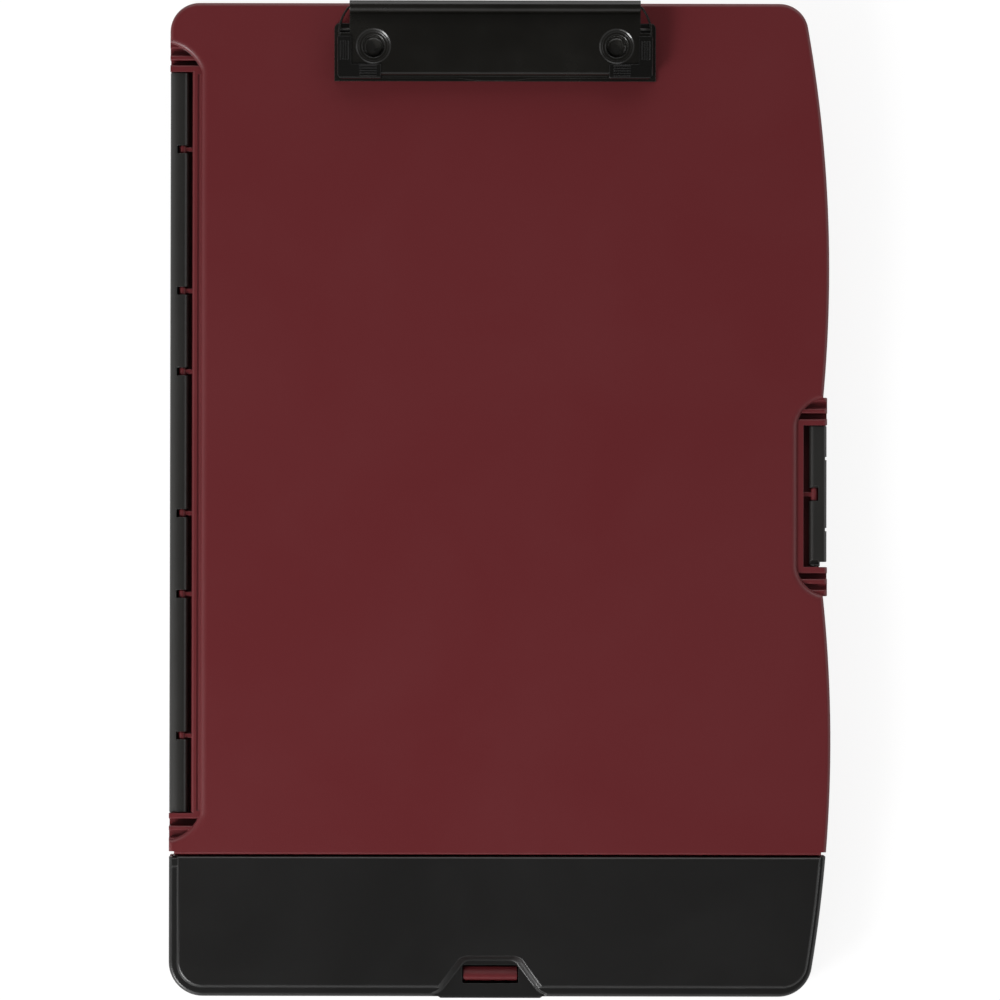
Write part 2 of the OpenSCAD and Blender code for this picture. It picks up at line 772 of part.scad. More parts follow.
module clip_base() {
    lug_t = 1;
    lug_r = 2.6;
    corner = 2;
    x0 = clip_x - base_w / 2;
    color([0.1, 0.1, 0.095])
        difference() {
            union() {
                translate([0, 0, board_z])
                    linear_extrude(sheet) {
                        translate([x0, base_y0])
                            square([base_w, base_l - corner]);
                        translate([x0 + corner, base_y0])
                            square([base_w - 2 * corner, base_l]);
                        for (x = [x0 + corner, x0 + base_w - corner])
                            translate([x, base_y1 - corner])
                                circle(corner);
                    }
                for (s = [-1, 1]) {
                    x = clip_x + s * lug_x - lug_t / 2;
                    rod_along_x(rod_y, rod_z, lug_r, x, x + lug_t);
                    span([x, rod_y - lug_r, board_z + sheet / 2], [x + lug_t, rod_y + lug_r, rod_z]);
                }
            }
            rod_along_x(rod_y, rod_z, rod_r, -side_x, side_x);
            for (s = [-1, 1])
                translate([clip_x + s * rivet_half, rivet_y, 0])
                    cylinder(r = rivet_hole_r, h = 2 * case_h);
        }
}

// Closed outline of a sheet of thickness t that follows a bent path, with mitred bends
function ribbon(path, t) =
    let (n = len(path))
    let (way = [for (i = [0:n - 2]) (path[i + 1] - path[i]) / norm(path[i + 1] - path[i])])
    let (side = [for (i = [0:n - 1])
        let (a = way[max(i - 1, 0)])
        let (m = (a + way[min(i, n - 2)]) / norm(a + way[min(i, n - 2)]))
        [-m.y, m.x] * t / 2 / (m * a)])
    concat(path + side, [for (i = [n - 1:-1:0]) path[i] - side[i]]);

// Middle of the jaw's sheet from the roll to the lip, in Y and Z
jaw_foot = base_top + grip_gap + sheet / 2;
jaw_path = [[roll_y - 1.3, roll_z - 1.4], [rod_y + 5.7, roll_z - 1.4], [rod_y + 2.7, roll_z - 1.2],
    [base_y0 + 5.2, board_z + 6.4], [base_y0 + 3.6, board_z + 5.6], [base_y0 + 2.4, board_z + 3.8],
    [base_y0 + 1.9, jaw_foot], [base_y0 + 0.6, jaw_foot]];
plate_start = 2;
lip_start = len(jaw_path) - 2;

// Profile of the jaw's sheet at thickness t between two points of its path
module jaw_sheet(t, first, last) {
    polygon(ribbon([for (i = [first:last]) jaw_path[i]], t));
}

module ring(y, z, r_out, r_in) {
    translate([y, z])
        difference() {
            circle(r_out);
            circle(r_in);
        }
}

module clip_jaw() {
    wide_y1 = grip_y1 + 1.4;
    collar_h = 1.3;
    color([0.115, 0.115, 0.11])
        difference() {
            union() {
                profile_along_x(clip_x - roll_w / 2, clip_x + roll_w / 2) {
                    ring(roll_y, roll_z, roll_r, roll_r - sheet);
                    jaw_sheet(sheet, 0, lip_start + 1);
                }
                intersection() {
                    profile_along_x(clip_x - jaw_w / 2, clip_x + jaw_w / 2)
                        jaw_sheet(sheet, plate_start, lip_start + 1);
                    span([-side_x, base_y0 - cut, 0], [side_x, wide_y1, 2 * case_h]);
                }
                lip_tab();
                for (s = [-1, 1]) {
                    side_ear(s);
                    translate([clip_x + s * rivet_half, rivet_y, board_z + 5.6])
                        cylinder(r = hole_r + sheet, h = collar_h);
                }
            }
            for (s = [-1, 1])
                translate([clip_x + s * rivet_half, rivet_y, board_z + 3])
                    cylinder(r = hole_r, h = case_h);
            rod_along_x(rod_y, rod_z, rod_r + pin_play, -side_x, side_x);
        }
}

// Middle part of the jaw's lip, which reaches a little further onto the paper
module lip_tab() {
    half = jaw_w / 8;
    slant = 3;
    translate([clip_x, 0, jaw_foot - sheet / 2])
        linear_extrude(sheet)
            polygon([[-half - slant, base_y0 + 0.8], [-half, base_y0 + 0.1], [half, base_y0 + 0.1],
                [half + slant, base_y0 + 0.8], [half + slant, base_y0 + 1.4], [-half - slant, base_y0 + 1.4]]);
}

// Side ear of the jaw, bowed in plan, with the rod's hole
module side_ear(s) {
    x = clip_x + s * (jaw_w / 2 - ear_r + ear_t / 2);
    y0 = grip_y1 + 2 * grip_gap;
    z0 = base_top + 0.6;
    z1 = roll_z - 0.8;
    intersection() {
        translate([x, rod_y - 1.2, z0])
            difference() {
                cylinder(r = ear_r, h = z1 - z0, $fn = 96);
                translate([0, 0, -cut])
                    cylinder(r = ear_r - ear_t, h = z1 - z0 + 2 * cut, $fn = 96);
            }
        span([s < 0 ? -side_x : x, y0, z0 - cut], [s < 0 ? x : side_x, roll_y, z1 + cut]);
        profile_along_x(-side_x, side_x)
            polygon([[y0, roll_z], [y0, rod_z - 1.6], [rod_y - 1.5, z0], [rod_y + 1.5, z0],
                [roll_y, roll_z - roll_r], [roll_y, roll_z]]);
    }
}

module clip_rod() {
    reach = jaw_w / 2 + 0.4;
    color([0.45, 0.45, 0.45])
        rod_along_x(rod_y, rod_z, rod_r, clip_x - reach, clip_x + reach);
}

// Centre line of the spring: a leg to the jaw, the curls, and a leg down to the base plate
sides = 6;
per_curl = 8;
curl_points = [for (i = [0:spring_curls * per_curl + 1])
    let (a = 90 + 360 * i / per_curl)
    [i * spring_pitch / per_curl, a]];
spring_len = spring_curls * spring_pitch + 2 * wire_r;

function ring_at(c, out, side) =
    [for (k = [0:sides - 1]) let (t = 360 * k / sides) c + wire_r * (cos(t) * out + sin(t) * side)];

function curl_centre(v) = [v[0], wound_r * cos(v[1]), wound_r * sin(v[1])];

spring_rings = concat(
    [ring_at([0, 6, wound_r], [0, 0, 1], [1, 0, 0])],
    [for (v = curl_points) ring_at(curl_centre(v), [0, cos(v[1]), sin(v[1])], [1, 0, 0])],
    [let (v = curl_points[len(curl_points) - 1])
        ring_at(curl_centre(v) + 4 * [0.02, -sin(v[1]), cos(v[1])], [0, cos(v[1]), sin(v[1])], [1, 0, 0])]
);

// Least gap between neighbouring curls, from their centres one full turn apart
curl_gap = min([for (i = [0:len(curl_points) - per_curl - 1])
    norm(curl_centre(curl_points[i + per_curl]) - curl_centre(curl_points[i])) - 2 * wire_r]);
echo("least gap of the spring to itself in mm", curl_gap);

module clip_spring() {
    n = sides;
    m = len(spring_rings);
    color([0.55, 0.55, 0.56])
        translate([clip_x - spring_len / 2, rod_y, rod_z])
            polyhedron(
                points = [for (ring = spring_rings) each ring],
                faces = concat(
                    [[for (i = [n - 1:-1:0]) i]],
                    [for (k = [0:m - 2]) for (i = [0:n - 1]) each [
                        [k * n + i, (k + 1) * n + (i + 1) % n, (k + 1) * n + i],
                        [k * n + i, k * n + (i + 1) % n, (k + 1) * n + (i + 1) % n]]],
                    [[for (i = [0:n - 1]) (m - 1) * n + i]]
                )
            );
}

// Rivets from the washers under the cover's skin up to domed heads on the base plate
module clip_rivets() {
    foot_z = case_h - skin - washer_t - rivet_foot_t;
    head_t = 0.9;
    color([0.13, 0.13, 0.125])
        for (s = [-1, 1])
            translate([clip_x + s * rivet_half, rivet_y, 0]) {
                translate([0, 0, foot_z])
                    cylinder(r = rivet_hole_r - pin_play, h = base_top + head_t - foot_z);
                translate([0, 0, foot_z])
                    cylinder(r = rivet_r - 0.4, h = rivet_foot_t);
                translate([0, 0, base_top])
                    cylinder(r = rivet_r, h = head_t);
                translate([0, 0, base_top + head_t])
                    cylinder(r1 = rivet_r, r2 = rivet_r - 1, h = 0.6);
            }
}

module rivet_washers() {
    color([0.6, 0.6, 0.6])
        for (s = [-1, 1])
            translate([clip_x + s * rivet_half, rivet_y, case_h - skin - washer_t])
                difference() {
                    cylinder(r = washer_r, h = washer_t);
                    translate([0, 0, -cut])
                        cylinder(r = rivet_hole_r, h = washer_t + 2 * cut);
                }
}

// Corner grip on one corner of the jaw, s is -1 on the hinge side and 1 on the latch side.
// Its skin follows the jaw's bent sheet, and both its leg and its arm carry raised ribs
module grip(s) {
    cover_t = 2.4;
    outer = jaw_w / 2 + 0.8;
    leg = 5.6;
    arm = 17.5;
    arm_y = base_y0 + 6.4;
    rib_t = 0.5;
    rib_h = 0.3;
    leg_ribs = [for (i = [0:3]) 1.5 + 0.95 * i];
    leg_span = [9.2, 2];
    arm_ribs = [for (i = [0:3]) 1.7 + 1.1 * i];
    arm_span = [9, 15.5];
    mirror([s < 0 ? 0 : 1, 0, 0])
        translate([s < 0 ? clip_x : -clip_x, 0, 0])
            difference() {
                union() {
                    intersection() {
                        profile_along_x(-outer, outer)
                            jaw_sheet(cover_t, plate_start, lip_start);
                        union() {
                            span([-outer, base_y0 - leg, 0], [leg - outer, grip_y1, 2 * case_h]);
                            span([-outer, base_y0 - leg, 0], [arm - outer, arm_y, 2 * case_h]);
                        }
                    }
                    intersection() {
                        translate([0, 0, rib_h])
                            profile_along_x(-outer, outer)
                                jaw_sheet(cover_t, plate_start, lip_start);
                        union() {
                            for (d = leg_ribs)
                                span([d - outer, grip_y1 - leg_span[0], 0],
                                    [d - outer + rib_t, grip_y1 - leg_span[1], 2 * case_h]);
                            for (d = arm_ribs)
                                span([arm_span[0] - outer, base_y0 + d, 0],
                                    [arm_span[1] - outer, base_y0 + d + rib_t, 2 * case_h]);
                        }
                    }
                }
                profile_along_x(-jaw_w / 2, outer)
                    jaw_sheet(sheet, plate_start, lip_start + 1);
                span([-side_x, base_y0 - leg, 0], [side_x, case_y1, base_top + grip_gap]);
            }
}

module grip_left() {
    color([0.14, 0.14, 0.14])
        grip(-1);
}

module grip_right() {
    color([0.14, 0.14, 0.14])
        grip(1);
}

tray();
cover();
hinge_spine();
latch();
pen_lid();
clip_base();
clip_jaw();
clip_rod();
clip_spring();
clip_rivets();
rivet_washers();
grip_left();
grip_right();
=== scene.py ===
import math

import bmesh
import bpy
from bpy.props import FloatProperty, FloatVectorProperty, IntProperty, PointerProperty
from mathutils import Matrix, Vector


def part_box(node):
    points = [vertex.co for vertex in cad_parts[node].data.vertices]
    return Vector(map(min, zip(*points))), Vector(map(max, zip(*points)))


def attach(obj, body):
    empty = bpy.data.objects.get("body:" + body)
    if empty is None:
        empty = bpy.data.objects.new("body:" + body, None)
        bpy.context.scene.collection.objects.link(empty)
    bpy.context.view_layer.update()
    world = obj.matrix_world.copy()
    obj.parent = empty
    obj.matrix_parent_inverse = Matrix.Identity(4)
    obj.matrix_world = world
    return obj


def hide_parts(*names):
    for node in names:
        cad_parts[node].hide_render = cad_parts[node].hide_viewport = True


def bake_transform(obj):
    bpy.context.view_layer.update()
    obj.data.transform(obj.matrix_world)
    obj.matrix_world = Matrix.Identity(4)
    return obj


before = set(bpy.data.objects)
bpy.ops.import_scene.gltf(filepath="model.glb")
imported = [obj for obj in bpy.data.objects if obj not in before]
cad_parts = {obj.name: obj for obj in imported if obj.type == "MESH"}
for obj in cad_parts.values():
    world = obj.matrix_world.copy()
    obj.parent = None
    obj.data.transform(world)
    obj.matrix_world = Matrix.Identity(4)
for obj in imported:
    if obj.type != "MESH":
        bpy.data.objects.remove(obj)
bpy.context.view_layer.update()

bl_info = {
    "name": "Storage clipboard box",
    "version": (1, 0, 0),
    "blender": (4, 5, 0),
    "location": "3D View > Sidebar > Clipboard box",
    "description": "Gives the packed storage clipboard box its finished shells, clip, finishes and stage",
    "category": "Object",
}

# All shape work below is in millimetres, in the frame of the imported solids
MM = 0.001

# How far a cutting form reaches past what it cuts, and a height below every hollow
OVER = 1.0
UNDER = -3.0

# Part of its radius by which the middle of a rounded edge stays back from its flat sides
EDGE_BACK = 1 - math.sqrt(0.5)

QUARTER = math.pi / 2


def reach(node):
    """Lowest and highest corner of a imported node, in millimetres"""
    return tuple([v / MM for v in corner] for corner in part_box(node))


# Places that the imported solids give
TRAY_LOW, TRAY_HIGH = reach("tray")
COVER_LOW, COVER_HIGH = reach("cover")
LID_LOW, LID_HIGH = reach("pen_lid")
SPINE_LOW, SPINE_HIGH = reach("hinge_spine")
BASE_LOW, BASE_HIGH = reach("clip_base")
ROD_LOW, ROD_HIGH = reach("clip_rod")
LATCH_LOW = reach("latch")[0]
GRIP_LOW = reach("grip_left")[0]
JAW_HIGH = reach("clip_jaw")[1]

# The case and its two halves
SIDE_X = -TRAY_LOW[0]
CASE_Y0 = TRAY_LOW[1]
CASE_Y1 = TRAY_HIGH[1]
CASE_H = COVER_HIGH[2]
SEAM_Y = COVER_LOW[1]
SEAM_GAP = 0.2
SEAM_EDGE = 0.25
HALF_H = (CASE_H - SEAM_GAP) / 2
COVER_Z = HALF_H + SEAM_GAP

# Walls of both shells, and the height of the rim round the raised panel
WALL = 2.2
SKIN = 2.0
LEDGE_Z = HALF_H - 1.6

# How a hollow draws in below the skin: way down from its top and way inward, as shares of the slope
HOLLOW_SLOPE = 2.6
HOLLOW_CURVE = ((1, 0), (0.45, 0.3), (0.12, 0.65), (0, 1))

# Arcs of the case's outline; the upper bulge stays a little behind the lower one
BULGE_UP_Y = 91.0
BULGE_LOW_Y = -96.0
BULGE_R = 550.0
UPPER_BACK = 0.7
WAIST_R = 60.0
TOP_ROUND = 11.5
LOW_ROUND = 13.5
CORNER_STEPS = 14
BULGE_STEPS = 30
WAIST_STEPS = 12

# Two-axis hinge
HINGE_X = -SIDE_X + 5.0
HINGE_UP = 7.6
AXIS_UP = HINGE_UP + SEAM_GAP / 2
BARREL_R = 2.4
PIN_R = 1.15
PIN_PLAY = 0.05
HEAD_R = PIN_R + 0.3
PIN_REACH = 2.4
NECK_HALF = 0.9
SPINE_DEPTH = 8.8
SPINE_X1 = -SIDE_X + SPINE_DEPTH
SEAT_GAP = 0.3
SPINE_SEAT = (SPINE_LOW[1] - SEAT_GAP, SPINE_HIGH[1] + SEAT_GAP)
SPINE_MID = (SPINE_LOW[1] + SPINE_HIGH[1]) / 2
FINGERS = [SPINE_MID + side * d for d in (28.1, 60.1, 116.2) for side in (-1, 1)]
NOTCH_W = 3.2
NOTCH_GAP = 0.5
NOTCH_UP = 4.4
NOTCH_X0 = -SIDE_X + 2.75
SILL_H = 3.0
SILL_X0 = -SIDE_X + 2.6

# Latch, and the catch bar as its stretch along the case and its heights above the case's underside
LATCH_X = SIDE_X - 6.4
LATCH_UP = 7.9
LATCH_R = 2.2
LATCH_NOTCH = (-0.1, 5.1)
LATCH_SEAT = (-26.3, 29.8)
LATCH_PLATE = (-24.3, 29.6)
LATCH_FLOOR = 5.0
LATCH_WALL_X = LATCH_X - LATCH_R - 2.2
END_PIN = 1.7
BLOCK_X = SIDE_X - 1.4
BLOCK_DEPTH = 8.6
LATCH_FACE_X = BLOCK_X - 0.2
CATCH_Y = (-19, 24)
CATCH_Z = (3.1, 8)
CATCH_BACK = 2.8

# Grip zones: depth from the case's side, bow of the panel's edge, ribs as distances from the seat's end
LEFT_ZONE = dict(seat=SPINE_SEAT, depth=12.6, bow=2.3,
                 up=((0, 2.6), (4.5, 6.5), (9.1, 11.3)), low=((0, 2.2), (5, 6.8), (9.7, 10.9)))
RIGHT_ZONE = dict(seat=LATCH_SEAT, depth=SIDE_X - LATCH_WALL_X + 2.9, bow=3.6,
                  up=((0, 2.5), (4.8, 6.7), (9.4, 11)), low=((0, 2.5), (4.7, 6.8), (9, 11.6)))
RIB_FLOOR = 4.4
RIB_FLOORS = (RIB_FLOOR, LEDGE_Z - 2.4)
RIB_WALL = 1.6
RIB_BLOCK = 12
BAND_X = (SIDE_X + 3, SIDE_X - 16)

# Sides of a pocket between ribs: height above its floor or the rim, and outward step
POCKET_FOOT = ((0, -0.45), (0.15, -0.15), (0.45, 0))
POCKET_TOP = ((-0.65, 0), (-0.38, 0.07), (-0.17, 0.22), (-0.04, 0.45), (0.02, 0.7))

# Pen lid
LID_Y1 = LID_HIGH[1]
LID_AXIS = 2.6
LID_HINGE_Y = LID_Y1 - LID_AXIS
LID_HINGE_Z = HALF_H - LID_AXIS
BEAD_R = LID_AXIS - 0.1
PART_T = 1.8
PARTITION = (LID_HINGE_Y - PART_T / 2, LID_HINGE_Y + PART_T / 2)
POSTS = (-105, -35, 35, 105)
POST_W = 6.0
POST_REACH = 3.0
POST_GAP = 0.3

# Finger recess, slot and lip of the lid; the recess's edge and foot as half outlines from its middle
TAB_X = -3.6
RECESS_Z = HALF_H - 3.0
RECESS_EDGE = ((10.2, 16.2), (12.6, 15.2), (20, 5.3), (22, 3.4), (26, 2), (26, -2.4))
RECESS_FOOT = ((8.4, 14.3), (10.4, 13.3), (17.8, 3.6), (19.6, 1.7), (22.2, 0.6), (22.2, -2.4))
RECESS_ROUND = 2.4
SLOT_W = 22.2
SLOT_L = 7.2
SLOT_Y1 = CASE_Y0 + 12.4
LIP_HALF = 20.8
LIP_CORNER = 1.1
LIP_OUT = CASE_Y0 - LID_LOW[1]

# Slope of the recess on its slanted sides and at its crest: way inward from the edge, and depth in shares
SLANTED = ((0.0, 0.0), (0.1, 0.01), (0.2, 0.04), (0.3, 0.11), (0.38, 0.2), (0.44, 0.31), (0.5, 0.385),
           (0.56, 0.4), (0.64, 0.43), (0.72, 0.5), (0.8, 0.61), (0.87, 0.75), (0.94, 0.88), (1.0, 0.96))
CREST = ((0.0, 0.0), (0.04, 0.01), (0.09, 0.04), (0.14, 0.1), (0.2, 0.18), (0.3, 0.3), (0.4, 0.41),
         (0.5, 0.52), (0.6, 0.63), (0.7, 0.74), (0.8, 0.85), (0.88, 0.92), (0.94, 0.96), (1.0, 0.985))
SLANTED_CORNERS = 4

# Clip: base plate, rod and rivets
CLIP_X = (BASE_LOW[0] + BASE_HIGH[0]) / 2
BASE_Y0 = BASE_LOW[1]
BASE_TOP = CASE_H + 1.0
BASE_ROUND = 2
ROD_Y = (ROD_LOW[1] + ROD_HIGH[1]) / 2
ROD_Z = (ROD_LOW[2] + ROD_HIGH[2]) / 2
ROD_R = (ROD_HIGH[2] - ROD_LOW[2]) / 2
LUG_R = 2.6
LUG_T = 1
RIVET_Y = CASE_Y1 - 17.6
RIVETS = [(CLIP_X + side * 48.1, RIVET_Y) for side in (-1, 1)]
RIVET_R = 2.0
BORE_R = RIVET_R + 0.05

# Clip: jaw of bent sheet with its rolled rear edge, access holes and corner grips
JAW_W = 123.4
JAW_T = 1.0
ROLL_W = 115.0
ROLL_R = 2.4
ROLL_Y = JAW_HIGH[1] - ROLL_R
ROLL_Z = CASE_H + 9.2
LUG_X = JAW_W / 2 - 7.5
PLATE_SLOPE = 0.093
PLATE_REAR = ROD_Y + 2.7
FOOT_Y = BASE_Y0 + 2.9
LIP_Z = BASE_TOP + 0.55
HOLE_R = 5.3
GRIP_Y1 = ROD_Y - 2.3
GRIP_RIB_R = 0.28

# Shelf in an access hole: radius past the hole's, and height over the plate's top
HOLE_SHELF = ((-0.9, -1.15), (-0.84, -1.0), (-0.7, -0.9), (-0.2, -0.8), (0.15, -0.74), (0.4, -0.64),
              (0.9, -0.4), (1.0, -0.39), (1.1, -0.34), (1.6, -0.08), (1.75, -0.02), (2.0, 0.02), (2.0, 1))

# Spring: pitch of its turns and its play on the rod
SPRING_PITCH = 1.5
SPRING_PLAY = 0.25


def case_sides(left=0.0, right=0.0, top=0.0, low=0.0):
    """Outline of the case as numbers, stepped inward by its own amount on each side"""
    return dict(left=-SIDE_X + left, up=SIDE_X - UPPER_BACK - right, out=SIDE_X - right, top=CASE_Y1 - top,
                low=CASE_Y0 + low, round_top=TOP_ROUND - min(left, top), round_low=LOW_ROUND - min(left, low),
                bulge=BULGE_R - right)


CASE = case_sides()
PANEL = case_sides(left=3.2, right=1.8, top=3.9, low=3.4)
PAPER = case_sides(SPINE_DEPTH + WALL, WALL, WALL, WALL)
PENS = case_sides(WALL, WALL, WALL, WALL)


# Plane curves

def arc(c, r, start, end, steps, skip=0):
    """Points of an arc about c, angles in radians, the first one left out when skip is 1"""
    angles = [start + (end - start) * i / steps for i in range(skip, steps + 1)]
    return [(c[0] + r * math.cos(a), c[1] + r * math.sin(a)) for a in angles]


def circle(c, r, steps=48):
    return arc(c, r, 0, 2 * math.pi * (1 - 1 / steps), steps - 1)


def rectangle(x0, y0, x1, y1):
    return [(x0, y0), (x1, y0), (x1, y1), (x0, y1)]


def angle_to(c, p):
    return math.atan2(p[1] - c[1], p[0] - c[0])


def outline(sides, inset=0.0):
    """Closed outline of the case: straight hinge side, two shallow bulges, hollow waist on the latch side"""
    big = sides["bulge"]
    up = (sides["up"] - big, BULGE_UP_Y)
    low = (sides["out"] - big, BULGE_LOW_Y)
    r_top, r_low = sides["round_top"], sides["round_low"]

    def corner(c, y, r):
        return (c[0] + math.sqrt((big - r) ** 2 - (y - c[1]) ** 2), y)

    top_right = corner(up, sides["top"] - r_top, r_top)
    low_right = corner(low, sides["low"] + r_low, r_low)
    from_top, to_low = angle_to(up, top_right), angle_to(low, low_right)
    gap = math.dist(up, low)
    along = ((up[0] - low[0]) / gap, (up[1] - low[1]) / gap)
    back = math.sqrt((BULGE_R + WAIST_R) ** 2 - (gap / 2) ** 2)
    waist = ((up[0] + low[0]) / 2 + along[1] * back, (up[1] + low[1]) / 2 - along[0] * back)
    to_waist, from_waist = angle_to(low, waist), angle_to(up, waist)
    hollow = WAIST_R + inset + BULGE_R - big
    turn = math.pi
    return (arc((sides["left"] + r_low, sides["low"] + r_low), r_low - inset, turn, 1.5 * turn, CORNER_STEPS)
            + arc(low_right, r_low - inset, -QUARTER, to_low, CORNER_STEPS)
            + arc(low, big - inset, to_low, to_waist, BULGE_STEPS, 1)
            + arc(waist, hollow, turn + to_waist, turn + from_waist, WAIST_STEPS, 1)
            + arc(up, big - inset, from_waist, from_top, BULGE_STEPS, 1)
            + arc(top_right, r_top - inset, from_top, QUARTER, CORNER_STEPS, 1)
            + arc((sides["left"] + r_top, sides["top"] - r_top), r_top - inset, QUARTER, turn, CORNER_STEPS))


def grow(points, amount, longest=0.3):
    """Closed outline grown outward by amount; longest keeps the mitre of a sharp corner short"""
    pts = [Vector(p) for p in points]
    n = len(pts)
    area = sum(pts[i - 1].x * pts[i].y - pts[i].x * pts[i - 1].y for i in range(n))
    turn = 1 if area > 0 else -1
    grown = []
    for i, p in enumerate(pts):
        a = (p - pts[i - 1]).normalized()
        b = (pts[(i + 1) % n] - p).normalized()
        middle = (a + b).normalized()
        grown.append(p + Vector((middle.y, -middle.x)) * turn * amount / max(middle.dot(a), longest))
    return [tuple(p) for p in grown]


def bend(a, p, b, radius, steps, share=0.45):
    """Points of a rounded bend at p, which takes up at most that share of the way to a and to b"""
    a, p, b = Vector(a), Vector(p), Vector(b)
    room = min(radius, share * (a - p).length, share * (b - p).length)
    q, r = p + (a - p).normalized() * room, p + (b - p).normalized() * room
    return [tuple(q.lerp(p, t).lerp(p.lerp(r, t), t)) for t in [k / steps for k in range(steps + 1)]]


def soften(points, radius, steps=4):
    """Closed outline with its corners rounded"""
    after = points[1:] + points[:1]
    return [q for i, p in enumerate(points) for q in bend(points[i - 1], p, after[i], radius, steps)]


def bow(p, q, sag, steps=12):
    """Arc from p to q that bows out to the left of the way by sag"""
    p, q = Vector(p), Vector(q)
    way = (q - p).normalized()
    r = ((q - p).length ** 2 / 4 + sag * sag) / 2 / sag
    c = (p + q) / 2 - Vector((-way.y, way.x)) * (r - sag)
    return arc(c, r, angle_to(c, p), angle_to(c, q), steps)


def ribbon(path, t):
    """Closed outline of a sheet of thickness t that follows a bent path"""
    pts = [Vector(p) for p in path]
    last = len(pts) - 1
    left, right = [], []
    for i, p in enumerate(pts):
        a = (pts[max(i, 1)] - pts[max(i, 1) - 1]).normalized()
        b = (pts[min(i + 1, last)] - pts[min(i, last - 1)]).normalized()
        middle = (a + b).normalized()
        side = Vector((-middle.y, middle.x)) * t / 2 / middle.dot(a)
        left.append(tuple(p + side))
        right.append(tuple(p - side))
    return left + right[::-1]


def round_levels(z, r, steps=8):
    """Height and inward step along a rounded edge of radius r that ends at height z"""
    angles = [QUARTER * i / steps for i in range(steps + 1)]
    return [(z - r + r * math.sin(a), r * (1 - math.cos(a))) for a in angles]


# Closed forms

def solid(rings):
    """Closed form through rings of equal point count, given in millimetres"""
    bm = bmesh.new()
    loops = [[bm.verts.new([c * MM for c in p]) for p in ring] for ring in rings]
    n = len(loops[0])
    for a, b in zip(loops, loops[1:]):
        for i in range(n):
            bm.faces.new((a[i], a[(i + 1) % n], b[(i + 1) % n], b[i]))
    bm.faces.new(loops[0][::-1])
    bm.faces.new(loops[-1])
    bmesh.ops.recalc_face_normals(bm, faces=bm.faces)
    mesh = bpy.data.meshes.new("form")
    bm.to_mesh(mesh)
    bm.free()
    obj = bpy.data.objects.new("form", mesh)
    bpy.context.scene.collection.objects.link(obj)
    return obj


AXES = {"x": lambda u, v, w: (w, u, v), "y": lambda u, v, w: (u, w, v), "z": lambda u, v, w: (u, v, w)}


def prism(axis, profile, lo, hi, edge=0.0):
    """Profile drawn out along an axis from lo to hi, both ends with a rounded edge"""
    place = AXES[axis]
    levels = [(lo, 0.0), (hi, 0.0)]
    if edge:
        back = edge * EDGE_BACK
        levels = [(lo, -edge), (lo + back, -back), (lo + edge, 0.0),
                  (hi - edge, 0.0), (hi - back, -back), (hi, -edge)]
    return solid([[place(u, v, w) for u, v in (grow(profile, g) if g else profile)] for w, g in levels])


def box(a, b):
    return prism("z", rectangle(a[0], a[1], b[0], b[1]), a[2], b[2])


def rod(axis, c, r, lo, hi, edge=0.0, steps=40):
    return prism(axis, circle(c, r, steps), lo, hi, edge)


def lathe(x, y, profile, steps=64):
    """Form turned about an upright line at x, y; profile is radius and height, from the lowest level up"""
    return solid([[(px, py, z) for px, py in circle((x, y), r, steps)] for r, z in profile])


def stepped(sides, levels):
    """Solid of an outline of the case over levels of height and inward step"""
    return solid([[(x, y, z) for x, y in outline(sides, inset)] for z, inset in levels])


def layered(plan, levels):
    """Solid of a plan over levels of height and outward step"""
    return solid([[(x, y, z) for x, y in grow(plan, g)] for z, g in levels])


def combine(obj, tools, operation):
    """Cuts, joins or keeps obj by closed forms, which are used up"""
    for tool in tools:
        change = obj.modifiers.new("form", "BOOLEAN")
        change.operation = operation
        change.solver = "MANIFOLD"
        change.object = tool
    graph = bpy.context.evaluated_depsgraph_get()
    mesh = bpy.data.meshes.new_from_object(obj.evaluated_get(graph), depsgraph=graph)
    obj.modifiers.clear()
    spent = obj.data
    obj.data = mesh
    bpy.data.meshes.remove(spent)
    for tool in tools:
        spent = tool.data
        bpy.data.objects.remove(tool)
        bpy.data.meshes.remove(spent)
    if not mesh.polygons:
        raise RuntimeError(f"{obj.name} came out empty")
    return obj


def cut(obj, *tools):
    return combine(obj, tools, "DIFFERENCE")


def join(obj, *tools):
    return combine(obj, tools, "UNION")


def keep(obj, tool):
    return combine(obj, [tool], "INTERSECT")


def lift(obj, height, flipped=False):
    """Moves a half form from the seam to its height, turned over for the tray"""
    for v in obj.data.vertices:
        v.co.z = height * MM + (-v.co.z if flipped else v.co.z)
    if flipped:
        obj.data.flip_normals()
    return obj


def settle(obj, name, body, material, replaced, sharp=32):
    """Names a finished piece, smooths it between sharp edges, gives it its finish and lets it ride"""
    obj.name = obj.data.name = name
    obj.data.shade_smooth()
    obj.data.set_sharp_from_angle(angle=math.radians(sharp))
    obj.modifiers.new("even shading", "WEIGHTED_NORMAL").keep_sharp = True
    obj.data.materials.clear()
    obj.data.materials.append(finish(material))
    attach(obj, body)
    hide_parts(*replaced)


# Shells

